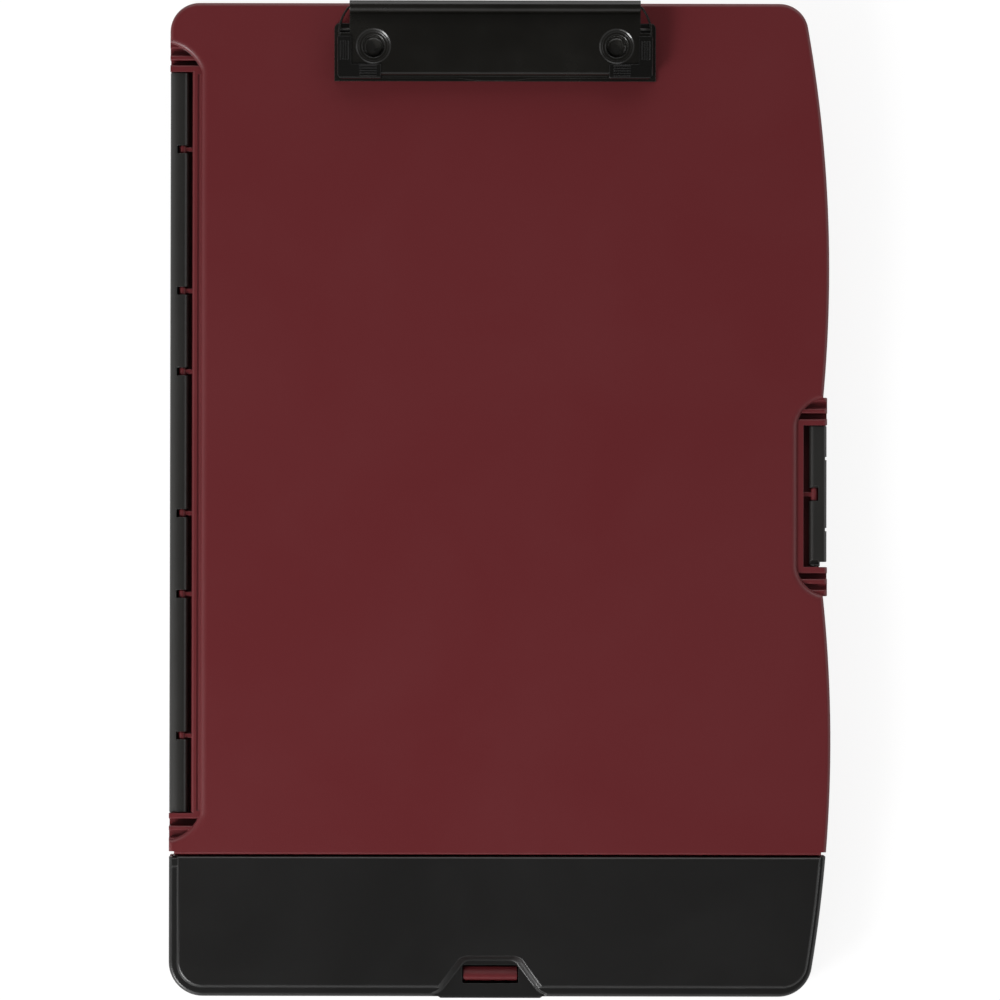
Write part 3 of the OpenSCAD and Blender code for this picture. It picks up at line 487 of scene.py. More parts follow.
def half_form(s, flush=False):
    """Outer form of half a case, seam at zero height, open side down; flush has no step round its panel"""
    rim, panel, foot = s.rim_round / MM, s.panel_round / MM, s.foot_fillet / MM
    back = SEAM_EDGE * EDGE_BACK
    lower = [(0, SEAM_EDGE), (back, back), (SEAM_EDGE, 0)] + round_levels(HALF_H if flush else LEDGE_Z, rim)
    upper = [(LEDGE_Z, -foot), (LEDGE_Z + foot * 0.3, -foot * 0.3), (LEDGE_Z + foot, 0)]
    upper += round_levels(HALF_H, panel)
    levels = [(CASE, z, inset) for z, inset in lower]
    if not flush:
        levels += [(PANEL, z, inset) for z, inset in upper]
    form = solid([[(x, y, z) for x, y in outline(sides, inset)] for sides, z, inset in levels])
    join(form, *rib_blocks(rim))
    cut(form, *spine_seat())
    for zone, side in ((LEFT_ZONE, -1), (RIGHT_ZONE, 1)):
        grip_zone(form, zone, side, panel - 0.1, foot)
    return cut(form, hinge_relief())


def rib_blocks(rim):
    """Blocks on both sides of the latch that carry the ribs, with the rim's rounding"""
    back = SEAM_EDGE * EDGE_BACK
    x0 = LATCH_X - BLOCK_DEPTH
    profile = ([(x0, 0.0), (BLOCK_X - SEAM_EDGE, 0.0), (BLOCK_X - back, back), (BLOCK_X, SEAM_EDGE)]
               + arc((BLOCK_X - rim, LEDGE_Z - rim), rim, 0, QUARTER, 8) + [(x0, LEDGE_Z)])
    low, high = LATCH_SEAT
    return [prism("y", profile, high, high + RIGHT_ZONE["up"][2][1], 0.4),
            prism("y", profile, low - RIGHT_ZONE["low"][2][1], low, 0.4)]


def spine_seat():
    """Seat of the spine with its rounded inner edge, and the thin groove beside it"""
    lead, out = 1.1, -SIDE_X - OVER
    profile = ([(out, -OVER), (SPINE_X1, -OVER)]
               + arc((SPINE_X1 + lead, LEDGE_Z - lead), lead, math.pi, QUARTER, 8)
               + [(SPINE_X1 + lead, HALF_H + OVER), (out, HALF_H + OVER)])
    groove = (-SIDE_X + 11.5, LEDGE_Z + 0.25)
    return [prism("y", profile, *SPINE_SEAT),
            rod("y", groove, 0.7, SPINE_SEAT[0] + 1, SPINE_SEAT[1] - 1, steps=24)]


def hinge_relief():
    """Cuts the corner below the hinge axis to a round form, so that the shell clears the other in turning"""
    relief = box((-SIDE_X - OVER, SEAM_Y - 0.3, -OVER), (HINGE_X, CASE_Y1 + OVER, HINGE_UP))
    return cut(relief, rod("y", (HINGE_X, HINGE_UP), HINGE_UP - 0.2, SEAM_Y - OVER, CASE_Y1 + 2, steps=64))


def zone_plan(zone, side):
    """Plan of a grip zone, bowed above and below the seat of the spine or the latch"""
    seat, depth, sag, out = zone["seat"], zone["depth"], zone["bow"], -4
    top, end = seat[1] + zone["up"][2][1], seat[0] - zone["low"][2][1]
    plan = ([(out, top)] + bow((0, top), (depth, seat[1]), sag)
            + bow((depth, seat[0]), (0, end), sag) + [(out, end)])
    return [(side * (SIDE_X - d), y) for d, y in plan]


def grip_zone(form, zone, side, rounding, foot):
    """Lowers the panel to the rim beside the spine or the latch, and sinks pockets between the ribs"""
    plan = zone_plan(zone, side)
    width = 2 * rounding
    levels = ([(LEDGE_Z, -foot), (LEDGE_Z + foot * 0.3, -foot * 0.7), (LEDGE_Z + foot, 0)]
              + [(z, inset * width / rounding) for z, inset in round_levels(HALF_H, rounding, 12)]
              + [(HALF_H + OVER, width + 0.9)])
    cut(form, layered(plan, levels))
    seat, up, low = zone["seat"], zone["up"], zone["low"]
    out, deep = [side * x for x in BAND_X]
    for i, floor in enumerate(RIB_FLOORS):
        shape = [(floor + z, g) for z, g in POCKET_FOOT] + [(LEDGE_Z + z, g) for z, g in POCKET_TOP]
        for a, b in ((seat[1] + up[i][1], seat[1] + up[i + 1][0]),
                     (seat[0] - low[i + 1][0], seat[0] - low[i][1])):
            pocket = layered([(out, a), (out, b), (deep, b), (deep, a)], shape)
            keep(pocket, prism("z", grow(plan, -0.35), RIB_FLOOR - OVER, HALF_H))
            cut(form, pocket)


def hollow_levels():
    """Heights and inward steps of a hollow, open at the seam"""
    top = HALF_H - SKIN
    curve = [(top - HOLLOW_SLOPE * down, HOLLOW_SLOPE * inward) for down, inward in HOLLOW_CURVE]
    return [(-OVER, 0)] + curve


def paper_hollow(y0):
    """Hollow of the paper compartment, less the blocks that carry the ribs"""
    left = -SIDE_X + LEFT_ZONE["depth"] + RIB_WALL
    right = SIDE_X - RIGHT_ZONE["depth"] - RIB_WALL
    span = RIB_BLOCK + RIB_WALL
    low, top = UNDER - OVER, HALF_H + OVER
    hollow = stepped(PAPER, hollow_levels())
    keep(hollow, box((-SIDE_X, y0, UNDER), (SIDE_X, CASE_Y1, HALF_H)))
    return cut(hollow, box((right, LATCH_SEAT[0] - span, low), (SIDE_X, LATCH_SEAT[1] + span, top)),
               box((-SIDE_X, SPINE_SEAT[1] - RIB_WALL, low), (left, CASE_Y1, top)),
               box((-SIDE_X, SEAM_Y, low), (left, SPINE_SEAT[0] + RIB_WALL, top)))


def finger(x0, x, z, y, head_l):
    """Moulded finger with a cross pin that reaches from the wall at x0 to the pin's axis"""
    neck = rectangle(y - NECK_HALF, z - NECK_HALF, y + NECK_HALF, z + NECK_HALF)
    return [rod("y", (x, z), PIN_R, y - head_l / 2 - PIN_REACH, y + head_l / 2 + PIN_REACH),
            rod("y", (x, z), HEAD_R, y - head_l / 2, y + head_l / 2, 0.25),
            prism("x", soften(neck, 0.3, 3), min(x0, x), max(x0, x))]


def hinge_fingers():
    """Fingers of one shell, which snap into one barrel of the spine"""
    return [tool for y in FINGERS for tool in finger(SPINE_X1 + 1, HINGE_X, HINGE_UP, y, NOTCH_W - NOTCH_GAP)]


def seam_nicks(y0):
    """Small steps at both ends of the seam between cover and lid"""
    y1, top = SEAM_Y + 1.1, HALF_H + OVER
    return [box((-SIDE_X - OVER, y0, -OVER), (-SIDE_X + 2.1, y1, top)),
            box((SIDE_X - 3.7, y0, -OVER), (SIDE_X + OVER, y1, top))]


def make_cover(s):
    """Cover: upper half behind the seam, with its hollow, hinge fingers, latch seat and rivet holes"""
    form = half_form(s, flush=True)
    edge = s.seam_round / MM
    far, top = CASE_Y1 + 5, HALF_H + OVER
    rounding = [(SEAM_Y + inset, z) for z, inset in reversed(round_levels(HALF_H, edge))]
    seam_end = [(far, -OVER), (far, top), (SEAM_Y + edge, top)] + rounding + [(SEAM_Y, -OVER)]
    keep(form, prism("x", seam_end, -SIDE_X - OVER, SIDE_X + OVER))
    join(form, *hinge_fingers())
    low, high = LATCH_SEAT
    hole = END_PIN + 0.2
    pins = [rod("y", (LATCH_X, LATCH_UP), PIN_R + PIN_PLAY, y0, y1)
            for y0, y1 in ((low - hole, low + 0.1), (high - 0.1, high + hole))]
    seat = box((LATCH_WALL_X, low, LATCH_FLOOR), (SIDE_X + OVER, high, top))
    cut(form, paper_hollow(SEAM_Y + WALL), *seam_nicks(SEAM_Y - 1), seat, *pins, *rivet_bores(-OVER, top))
    a, b = LATCH_NOTCH
    join(form, *finger(LATCH_WALL_X - 1, LATCH_X, LATCH_UP, (a + b) / 2, b - a - NOTCH_GAP))
    return lift(form, COVER_Z)


def rivet_bores(z0, z1):
    return [rod("z", place, BORE_R, z0, z1) for place in RIVETS]


def make_tray(s):
    """Tray: lower half over the whole length, with its two hollows and what is moulded inside them"""
    form = half_form(s)
    join(form, catch_bar(), *spine_sill(), *hinge_fingers())
    pens = stepped(PENS, hollow_levels())
    keep(pens, box((-SIDE_X, CASE_Y0, UNDER), (SIDE_X, PARTITION[0], HALF_H)))
    cut(form, paper_hollow(PARTITION[1]), pens, *seam_nicks(LID_Y1))
    lift(form, HALF_H, flipped=True)
    return join(form, *partition(), *lid_posts(), *snap_tongue())


def catch_bar():
    """Bar on the tray's wall, behind the hook of the closed latch"""
    high, low = [HALF_H - z for z in CATCH_Z]
    return box((LATCH_WALL_X - WALL, CATCH_Y[0], low), (LATCH_FACE_X - CATCH_BACK, CATCH_Y[1], high))


def spine_sill():
    """Sill along the seam behind the spine"""
    y0, y1 = SPINE_SEAT
    return [box((HINGE_X, y0 - 0.4, 0), (SPINE_X1 + 1, y1 + 0.4, SILL_H)),
            box((SILL_X0, y0 + SEAT_GAP, 0), (HINGE_X + 0.4, y1 - SEAT_GAP, SILL_H))]


def partition():
    """Wall between the paper and the pens, its upper part drawn in under the cover"""
    y0, y1 = PARTITION
    left, right = -SIDE_X + WALL, SIDE_X - 2 * WALL
    upper = rectangle(left + 0.6, SKIN, right - 1.2, COVER_Z + LID_HINGE_Z - 3)
    return [box((left - 0.4, y0, SKIN - 0.4), (right, y1, HALF_H)),
            prism("y", soften(upper, 0.8), y0, y1, 0.2)]


def lid_posts():
    """Posts on the partition, each with the cross pin that the lid turns on"""
    z, half = COVER_Z + LID_HINGE_Z, POST_W / 2
    parts = []
    for x in POSTS:
        parts += [box((x - half, PARTITION[0], SKIN), (x + half, PARTITION[1], z)),
                  rod("x", (LID_HINGE_Y, z), HEAD_R, x - half, x + half, 0.2),
                  rod("x", (LID_HINGE_Y, z), PIN_R, x - half - POST_REACH, x + half + POST_REACH, 0.2)]
    return parts


def snap_tongue():
    """Tongue that stands up into the lid's slot, with three gussets to the front wall"""
    y1 = SLOT_Y1 - 0.7
    y0 = y1 - (SLOT_L - 1.7)
    half = (SLOT_W - 0.7) / 2
    top = COVER_Z + RECESS_Z - 0.4
    sink, rib, steps = 0.4, 1.8, 8
    foot = SKIN - sink
    crown = [(y1 - (y1 - y0 - 1.5) * k / steps, top - 1.9 * (1 - k / steps) ** 1.7) for k in range(steps + 1)]
    profile = ([(y0, foot), (y0 + PART_T, foot), (y0 + PART_T, top - 6.5), (y1, top - 4.4)] + crown
               + [(y0 + 0.8, top - 0.25), (y0 + 0.3, top - 0.75), (y0, top - 1.5)])
    gussets = [box((x, CASE_Y0 + WALL - sink, foot), (x + rib, y0 + 0.4, HALF_H - 1))
               for x in (TAB_X - half, TAB_X - rib / 2, TAB_X + half - rib)]
    return [prism("x", profile, TAB_X - half, TAB_X + half, 0.3)] + gussets


def recess_plan(points, g):
    """Both halves of a recess outline, widened by g and moved back from the front by g"""
    right = [(TAB_X + x + g, CASE_Y0 + y + g) for x, y in reversed(points)]
    left = [(TAB_X - x - g, CASE_Y0 + y + g) for x, y in points]
    return right + left


def recess(g, z0, z1, rounded=True):
    """Finger recess in the lid; its slanted sides fall in two rounded steps, its crest in one"""
    edge, foot = recess_plan(RECESS_EDGE, g), recess_plan(RECESS_FOOT, g)
    if not rounded:
        stack = ((z0, foot), (z1, edge), (z1 + OVER, edge))
        return solid([[(x, y, z) for x, y in ring] for z, ring in stack])
    steps = 6
    crest = [i // (steps + 1) >= SLANTED_CORNERS for i in range(len(edge) * (steps + 1))]
    edge, foot = soften(edge, RECESS_ROUND, steps), soften(foot, RECESS_ROUND, steps)

    def ring(k):
        points = []
        for e, f, high in zip(edge, foot, crest):
            t, d = (CREST if high else SLANTED)[k]
            points.append((e[0] + (f[0] - e[0]) * t, e[1] + (f[1] - e[1]) * t, z1 - (z1 - z0) * d))
        return points

    rings = [[(x, y, z0) for x, y in grow(foot, -0.6)], [(x, y, z0 + 0.02) for x, y in grow(foot, -0.3)]]
    rings += [ring(k) for k in reversed(range(len(SLANTED)))]
    return solid(rings + [[(x, y, z1 + OVER) for x, y in grow(edge, 0.5)]])


def make_pen_lid(s):
    """Pen lid: upper half in front of the seam, with its hollow, recess, slot, lip and hinge bead"""
    form = half_form(s)
    edge = s.lid_round / MM
    near, top = CASE_Y0 - 5, HALF_H + OVER
    rounding = [(LID_Y1 - inset, z) for z, inset in round_levels(HALF_H, edge)]
    rear_end = [(near, -OVER), (LID_Y1, -OVER)] + rounding + [(LID_Y1 - edge, top), (near, top)]
    keep(form, prism("x", rear_end, -SIDE_X - OVER, SIDE_X + OVER))
    hollow = stepped(PENS, hollow_levels())
    cut(hollow, recess(1.7, RECESS_Z - SKIN, HALF_H - SKIN, rounded=False))
    cut(form, hollow)
    join(form, lid_bead(), lid_lip())
    slot = rectangle(TAB_X - SLOT_W / 2, SLOT_Y1 - SLOT_L, TAB_X + SLOT_W / 2, SLOT_Y1)
    notch = box((-SIDE_X - OVER, LID_Y1 - 0.4, -OVER), (-SIDE_X + 1.5, LID_Y1 + OVER, top))
    cut(form, recess(0, RECESS_Z, HALF_H), prism("z", soften(slot, 0.6), 0, HALF_H), lid_swing(), notch,
        *post_rooms())
    return lift(form, COVER_Z)


def lid_bead():
    """Bead along the lid's rear edge, in which the posts' pins turn"""
    bead = rod("x", (LID_HINGE_Y, LID_HINGE_Z), BEAD_R, -SIDE_X + 1.2, SIDE_X - 4, steps=48)
    return keep(bead, box((-SIDE_X, LID_HINGE_Y - 2 * BEAD_R, 0), (SIDE_X, LID_Y1, HALF_H - 0.5)))


def lid_lip():
    """Lip at the lid's front, below the recess"""
    half, front = LIP_HALF, LIP_HALF - LIP_CORNER
    lip = [(-half, 1), (-half, 0), (-front, -LIP_OUT), (front, -LIP_OUT), (half, 0), (half, 1)]
    return prism("z", [(TAB_X + x, CASE_Y0 + y) for x, y in lip], 0, RECESS_Z - 1, 0.25)


def post_rooms():
    """Rooms in the bead for the posts and their pins"""
    half = POST_W / 2 + POST_GAP
    low, high, reach_x = LID_HINGE_Y - BEAD_R - 0.4, LID_HINGE_Z + HEAD_R + 0.15, half + POST_REACH
    rooms = []
    for x in POSTS:
        rooms += [box((x - half, low, 0), (x + half, LID_Y1 + OVER, high)),
                  rod("x", (LID_HINGE_Y, LID_HINGE_Z), PIN_R + PIN_PLAY, x - reach_x, x + reach_x)]
    return rooms


def lid_swing():
    """Rounds what lies behind and below the lid's axis, so that it clears the tray as the lid turns"""
    axis = (LID_HINGE_Y, LID_HINGE_Z)
    r, top = LID_HINGE_Z - 0.2, LID_HINGE_Z - LID_AXIS - 1.2
    swing = box((-SIDE_X - OVER, LID_HINGE_Y, -2), (SIDE_X + OVER, LID_Y1 + OVER, top))
    return cut(swing, rod("x", axis, r, -SIDE_X - 2, SIDE_X + 2, steps=96))


# Spine and latch

def make_spine():
    """Spine with two barrels, one for each shell's fingers"""
    crown_x, crown_r, wall_x, steps = HINGE_X - 0.4, 2.6, -SIDE_X + 2.2, 12
    top = AXIS_UP + BARREL_R
    inner = math.pi + math.asin(0.4 / BARREL_R)
    crown = [(crown_x + 4.6 * math.cos(a), top - crown_r + crown_r * math.sin(a))
             for a in [math.pi - QUARTER * k / steps for k in range(steps + 1)]]
    upper = (crown + arc((HINGE_X, AXIS_UP), BARREL_R, QUARTER, inner - 2 * math.pi, 24)
             + [(wall_x + 0.6, AXIS_UP - 0.4), (wall_x, AXIS_UP - 1.0)])
    form = prism("y", upper + [(x, -z) for x, z in reversed(upper)], SPINE_LOW[1], SPINE_HIGH[1], 0.3)
    tools = []
    for z in (-AXIS_UP, AXIS_UP):
        for y in FINGERS:
            y0, y1 = y - NOTCH_W / 2, y + NOTCH_W / 2
            tools += [prism("x", rectangle(y0, z - NOTCH_UP, y1, z + NOTCH_UP), NOTCH_X0, SPINE_X1),
                      rod("y", (HINGE_X, z), PIN_R + PIN_PLAY, y0 - PIN_REACH, y1 + PIN_REACH)]
    cut(form, *tools)
    return lift(form, HALF_H + SEAM_GAP / 2)


def make_latch():
    """Latch plate with its barrel, hook, finger notch and two nicks"""
    top, foot, face = LATCH_UP + LATCH_R, LATCH_LOW[2] - COVER_Z, LATCH_FACE_X
    y0, y1 = LATCH_PLATE
    back, hook, shoulder, axis = face - 2, face - 2.5, top - 2, (LATCH_X, LATCH_UP)
    meets = math.asin((shoulder - LATCH_UP) / LATCH_R)
    profile = (arc((face - 1.5, top - 1.5), 1.5, QUARTER, 0, 8)
               + [(face, foot + 0.3), (face - 0.3, foot), (face - 2.2, foot), (hook, foot + 0.3),
                  (hook, foot + 1.1), (back, foot + 1.6), (back, top - 2.6), (face - 2.6, shoulder)]
               + arc(axis, LATCH_R, meets, -1.5 * math.pi, 24))
    form = prism("y", profile, y0, y1, 0.35)
    join(form, rod("y", axis, LATCH_R, LATCH_SEAT[0] + SEAT_GAP, y0 + 1, 0.3),
         rod("y", axis, PIN_R, LATCH_SEAT[0] - END_PIN, LATCH_SEAT[1] + END_PIN, 0.2))
    a, b = LATCH_NOTCH
    rear, over = LATCH_X - LATCH_R - OVER, top + OVER
    nicks = [box((face - 0.6, y, foot - OVER), (face + OVER, y + 1.3, over)) for y in (y0 + 12.2, y1 - 13.5)]
    bevels = [prism("x", [(y - 1, over), (y - 1, top - 1.1), (y, top - 1.1), (y + 0.9, top + 0.02),
                          (y + 0.9, over)], rear, LATCH_X + 1.6) for y in (b, y0)]
    window = soften(rectangle(rear, a, LATCH_X + 1.52, b), 0.3, 3)
    cut(form, prism("z", window, LATCH_UP - LATCH_R - OVER, over), *bevels,
        rod("y", axis, PIN_R + PIN_PLAY, a - PIN_REACH, b + PIN_REACH), *nicks)
    return lift(form, COVER_Z)


# Clip

def plate_z(y):
    """Height of the middle of the jaw's plate"""
    return ROLL_Z - 1.2 + (y - PLATE_REAR) * PLATE_SLOPE


def plate_path():
    """Middle of the jaw's sheet from behind the rod down to its foot, the bend at the lip rounded"""
    rear, front, foot = (PLATE_REAR, plate_z(PLATE_REAR)), (FOOT_Y, plate_z(FOOT_Y)), (FOOT_Y - 0.5, LIP_Z)
    return [rear] + bend(rear, front, foot, 0.9, 8) + [foot]


def roll_path():
    """Curl at the jaw's rear edge: almost a full turn, then down towards the plate"""
    curl = arc((ROLL_Y, ROLL_Z), ROLL_R - JAW_T / 2, math.radians(200), math.radians(-115), 40)
    return curl + [(ROLL_Y - 1.9, ROLL_Z - 1.75), (ROD_Y + 5.7, ROLL_Z - 1.45)]


def make_lip():
    """Foot of the jaw along the paper, reaching further out in its middle part"""
    half, front, steps = JAW_W / 2, BASE_Y0 + 1.1, 60
    plan = [(CLIP_X + half, FOOT_Y), (CLIP_X - half, FOOT_Y)]
    edge = []
    for i in range(steps + 1):
        x = half * (2 * i / steps - 1)
        away = min(max((abs(x) - 5) / 12, 0), 1)
        edge.append((CLIP_X + x, front - 0.5 * (1 + math.cos(math.pi * away))))
    return prism("z", edge + plan, LIP_Z - JAW_T / 2, LIP_Z + JAW_T / 2, 0.3)


def make_jaw():
    """Jaw of bent sheet: rolled rear edge, wider plate, lip, side ears and access holes over the rivets"""
    half, roll_half = JAW_W / 2, ROLL_W / 2
    rolled = soften(ribbon(roll_path() + plate_path(), JAW_T), 0.3, 2)
    form = prism("x", rolled, CLIP_X - roll_half, CLIP_X + roll_half, 0.25)
    wide = prism("x", ribbon(plate_path(), JAW_T), CLIP_X - half, CLIP_X + half, 0.25)
    keep(wide, box((-SIDE_X, BASE_Y0 - 1, 0), (SIDE_X, GRIP_Y1 + 1.4, 2 * CASE_H)))
    join(form, wide, make_lip())
    top = plate_z(RIVET_Y) + JAW_T / 2
    shelf = [(HOLE_R + HOLE_SHELF[0][0], CASE_H + 3)] + [(HOLE_R + r, top + z) for r, z in HOLE_SHELF]
    for side, (x, y) in zip((-1, 1), RIVETS):
        ring = rod("z", (x, y), HOLE_R + 1, CASE_H + 5.6, CASE_H + 6.9, 0.2, 64)
        join(form, ear(side), tilt(ring))
        cut(form, tilt(lathe(x, y, shelf, 96)))
    return cut(form, rod("x", (ROD_Y, ROD_Z), ROD_R + PIN_PLAY, -SIDE_X, SIDE_X))


def tilt(form, y=RIVET_Y):
    """Leans a form to the slope of the jaw's plate, about the line at y"""
    for v in form.data.vertices:
        v.co.z += (v.co.y - y * MM) * PLATE_SLOPE
    return form


def ear(side):
    """Side ear of the jaw, bowed in plan, cut to its side outline"""
    r, t = 16.2, 0.8
    x, y = CLIP_X + side * (JAW_W / 2 - r + t / 2), ROD_Y - 1.2
    z0, z1, hole = BASE_TOP + 0.6, ROLL_Z - 0.8, r - t
    form = prism("z", circle((x, y), r, 128), z0, z1, 0.35)
    inner = [(hole, z0 - OVER), (hole, z1 - 0.35), (hole + 0.1, z1 - 0.1), (hole + 0.35, z1 + 0.01),
             (hole + 0.5, z1 + OVER)]
    cut(form, lathe(x, y, inner, 128))
    y0, top, low = GRIP_Y1 + 0.1, z1 + 0.3, z0 - 0.1
    side_outline = [(y0, top), (y0, ROD_Z - 1.6), (ROD_Y - 1.5, low), (ROD_Y + 1.5, low),
                    (ROLL_Y, ROLL_Z - ROLL_R), (ROLL_Y, top)]
    return keep(form, prism("x", side_outline, *sorted((x, side * SIDE_X))))


def make_base():
    """Base plate with its two lugs, bored for the rod and the rivets"""
    x0, x1, y1, r = BASE_LOW[0], BASE_HIGH[0], BASE_HIGH[1], BASE_ROUND
    plan = ([(x0, BASE_Y0), (x1, BASE_Y0)] + arc((x1 - r, y1 - r), r, 0, QUARTER, 8)
            + arc((x0 + r, y1 - r), r, QUARTER, math.pi, 8))
    form = prism("z", plan, CASE_H, BASE_TOP, 0.18)
    foot = CASE_H + 0.5
    lug = [(ROD_Y - LUG_R, foot), (ROD_Y + LUG_R, foot)] + arc((ROD_Y, ROD_Z), LUG_R, 0, math.pi, 20)
    for side in (-1, 1):
        x = CLIP_X + side * LUG_X - LUG_T / 2
        join(form, prism("x", lug, x, x + LUG_T, 0.12))
    bore = rod("x", (ROD_Y, ROD_Z), ROD_R, -SIDE_X, SIDE_X)
    return cut(form, bore, *rivet_bores(CASE_H - OVER, BASE_TOP + OVER))


def make_rivets():
    """Two rivets with low domed heads, from the washers up through the base plate"""
    foot, steps = CASE_H - SKIN - 1.8, 10
    dome = [(0.6 + 3.0 * math.cos(a), BASE_TOP + 0.5 + 0.98 * math.sin(a))
            for a in [QUARTER * i / steps for i in range(steps + 1)]]
    profile = [(2.9, foot), (3.2, foot + 0.2), (3.2, foot + 1), (RIVET_R, foot + 1), (RIVET_R, BASE_TOP),
               (4.5, BASE_TOP), (4.6, BASE_TOP + 0.1), (4.5, BASE_TOP + 0.25), (3.65, BASE_TOP + 0.3)] + dome
    return join(*[lathe(x, y, profile) for x, y in RIVETS])


def make_washers():
    """Backing washers of the rivets, under the cover's skin"""
    top, r = CASE_H - SKIN, 5
    profile = [(r - 0.2, top - 0.8), (r, top - 0.6), (r, top - 0.15), (r - 0.1, top)]
    washers = [lathe(x, y, profile) for x, y in RIVETS]
    return join(*[cut(washer, bore) for washer, bore in zip(washers, rivet_bores(top - 2, top + OVER))])


def make_grip(side):
    """Rubber corner grip around the corner of the jaw, with ribs on its leg and its arm"""
    leg, arm, corner, edge, steps = 5.6, 17.5, 2.4, 0.9, 8
    arm_y, front = BASE_Y0 + 6.4, GRIP_LOW[1] + 0.05
    x0 = CLIP_X + side * (JAW_W / 2 + 0.8)

    def inward(d):
        return x0 - side * d

    top, rear, low = plate_z(front) + 1.15, plate_z(GRIP_Y1), BASE_Y0 + 4.6
    body = ([(GRIP_Y1, rear - 1.2), (GRIP_Y1, rear + 1.2)]
            + arc((front + edge, top - edge), edge, QUARTER, math.pi, 8)
            + [(front, BASE_TOP + 0.05), (BASE_Y0 + 4, BASE_TOP + 0.05), (low, plate_z(low) - 1.2)])
    form = prism("x", body, *sorted((inward(0), inward(arm))), 0.7)
    turn = [(inward(corner * (1 - math.sin(a))), front + corner * (1 - math.cos(a)))
            for a in [QUARTER * k / steps for k in range(steps + 1)]]
    plan = ([(inward(arm + 1), arm_y), (inward(leg), arm_y), (inward(leg), GRIP_Y1), (inward(-0.1), GRIP_Y1)]
            + turn[::-1] + [(inward(arm + 1), front - 0.1)])
    keep(form, prism("z", plan, CASE_H, 2 * CASE_H))
    join(form, *grip_ribs(inward))
    sheet = prism("x", ribbon(plate_path(), JAW_T), *sorted((CLIP_X + side * JAW_W / 2, CLIP_X)))
    return cut(form, sheet, make_lip())


def grip_ribs(inward):
    """Thin ribs of a grip: four along its leg, leaning with the plate, and five across its arm"""
    y0, y1 = GRIP_Y1 - 9.2, GRIP_Y1 - 2.0
    across = sorted((inward(9.0), inward(15.6)))
    ribs = []
    for i in range(4):
        rib = rod("y", (inward(1.5 + 0.95 * i), plate_z(y0) + 1.2), GRIP_RIB_R, y0, y1, 0.1, 16)
        ribs.append(tilt(rib, y0))
    for i in range(5):
        y = BASE_Y0 + 1.8 + 0.98 * i
        ribs.append(rod("x", (y, plate_z(y) + 1.18), GRIP_RIB_R, *across, 0.1, 16))
    return ribs


def tube(path, r, sides=14):
    """Round wire along a path, its rings kept square to the way"""
    pts = [Vector(p) for p in path]
    last = len(pts) - 1
    rings = []
    normal = None
    for i, p in enumerate(pts):
        way = (pts[min(i + 1, last)] - pts[max(i - 1, 0)]).normalized()
        if normal is None:
            normal = way.orthogonal()
        normal = (normal - way * normal.dot(way)).normalized()
        other = way.cross(normal)
        rings.append([tuple(p + r * (math.cos(a) * normal + math.sin(a) * other))
                      for a in [2 * math.pi * k / sides for k in range(sides)]])
    return solid(rings)


def make_spring(s):
    """Wound spring: a straight leg, the turns about the rod, and a leg that follows on from the last turn"""
    wire = s.wire_radius / MM
    curls, steps, legs = s.spring_curls, 28, 8
    r = ROD_R + SPRING_PLAY + wire
    start = CLIP_X - curls * SPRING_PITCH / 2 - wire
    pts = [(start, ROD_Y + 6 - 0.75 * k, ROD_Z + r) for k in range(legs)]
    for i in range(int(curls * steps + steps / 8) + 1):
        a = QUARTER + 2 * math.pi * i / steps
        pts.append((start + i * SPRING_PITCH / steps, ROD_Y + r * math.cos(a), ROD_Z + r * math.sin(a)))
    end, way = Vector(pts[-1]), Vector((0.02, -math.sin(a), math.cos(a)))
    return tube(pts + [tuple(end + way * 0.5 * k) for k in range(1, legs + 1)], wire)


# Finishes

NUMBER = "NodeSocketFloat"
WHITE = (1.0, 1.0, 1.0)
SCUFF = (0.09, 0.088, 0.085, 1.0)

# How far patches of handling change a plastic's roughness and tone, and how strongly dust shows
PATCH_ROUGH = 0.03
SMUDGE = 0.18
DUST = 0.12


def new_group(name, inputs, outputs):
    """Node group with named inputs and outputs, and its two end nodes"""
    group = bpy.data.node_groups.new(name, "ShaderNodeTree")
    for label, kind, value in inputs:
        socket = group.interface.new_socket(label, in_out="INPUT", socket_type=kind)
        socket.default_value = value
    for label, kind in outputs:
        group.interface.new_socket(label, in_out="OUTPUT", socket_type=kind)
    return group, group.nodes.new("NodeGroupInput"), group.nodes.new("NodeGroupOutput")


def add(tree, kind, links=(), **values):
    """Adds a node, sets its plain properties, then links sockets by name or number"""
    node = tree.nodes.new(kind)
    for key, value in values.items():
        setattr(node, key, value)
    for target, source in dict(links).items():
        if isinstance(source, bpy.types.NodeSocket):
            tree.links.new(source, node.inputs[target])
        else:
            node.inputs[target].default_value = source
    return node


def times(tree, a, b):
    return add(tree, "ShaderNodeMath", {0: a, 1: b}, operation="MULTIPLY").outputs[0]


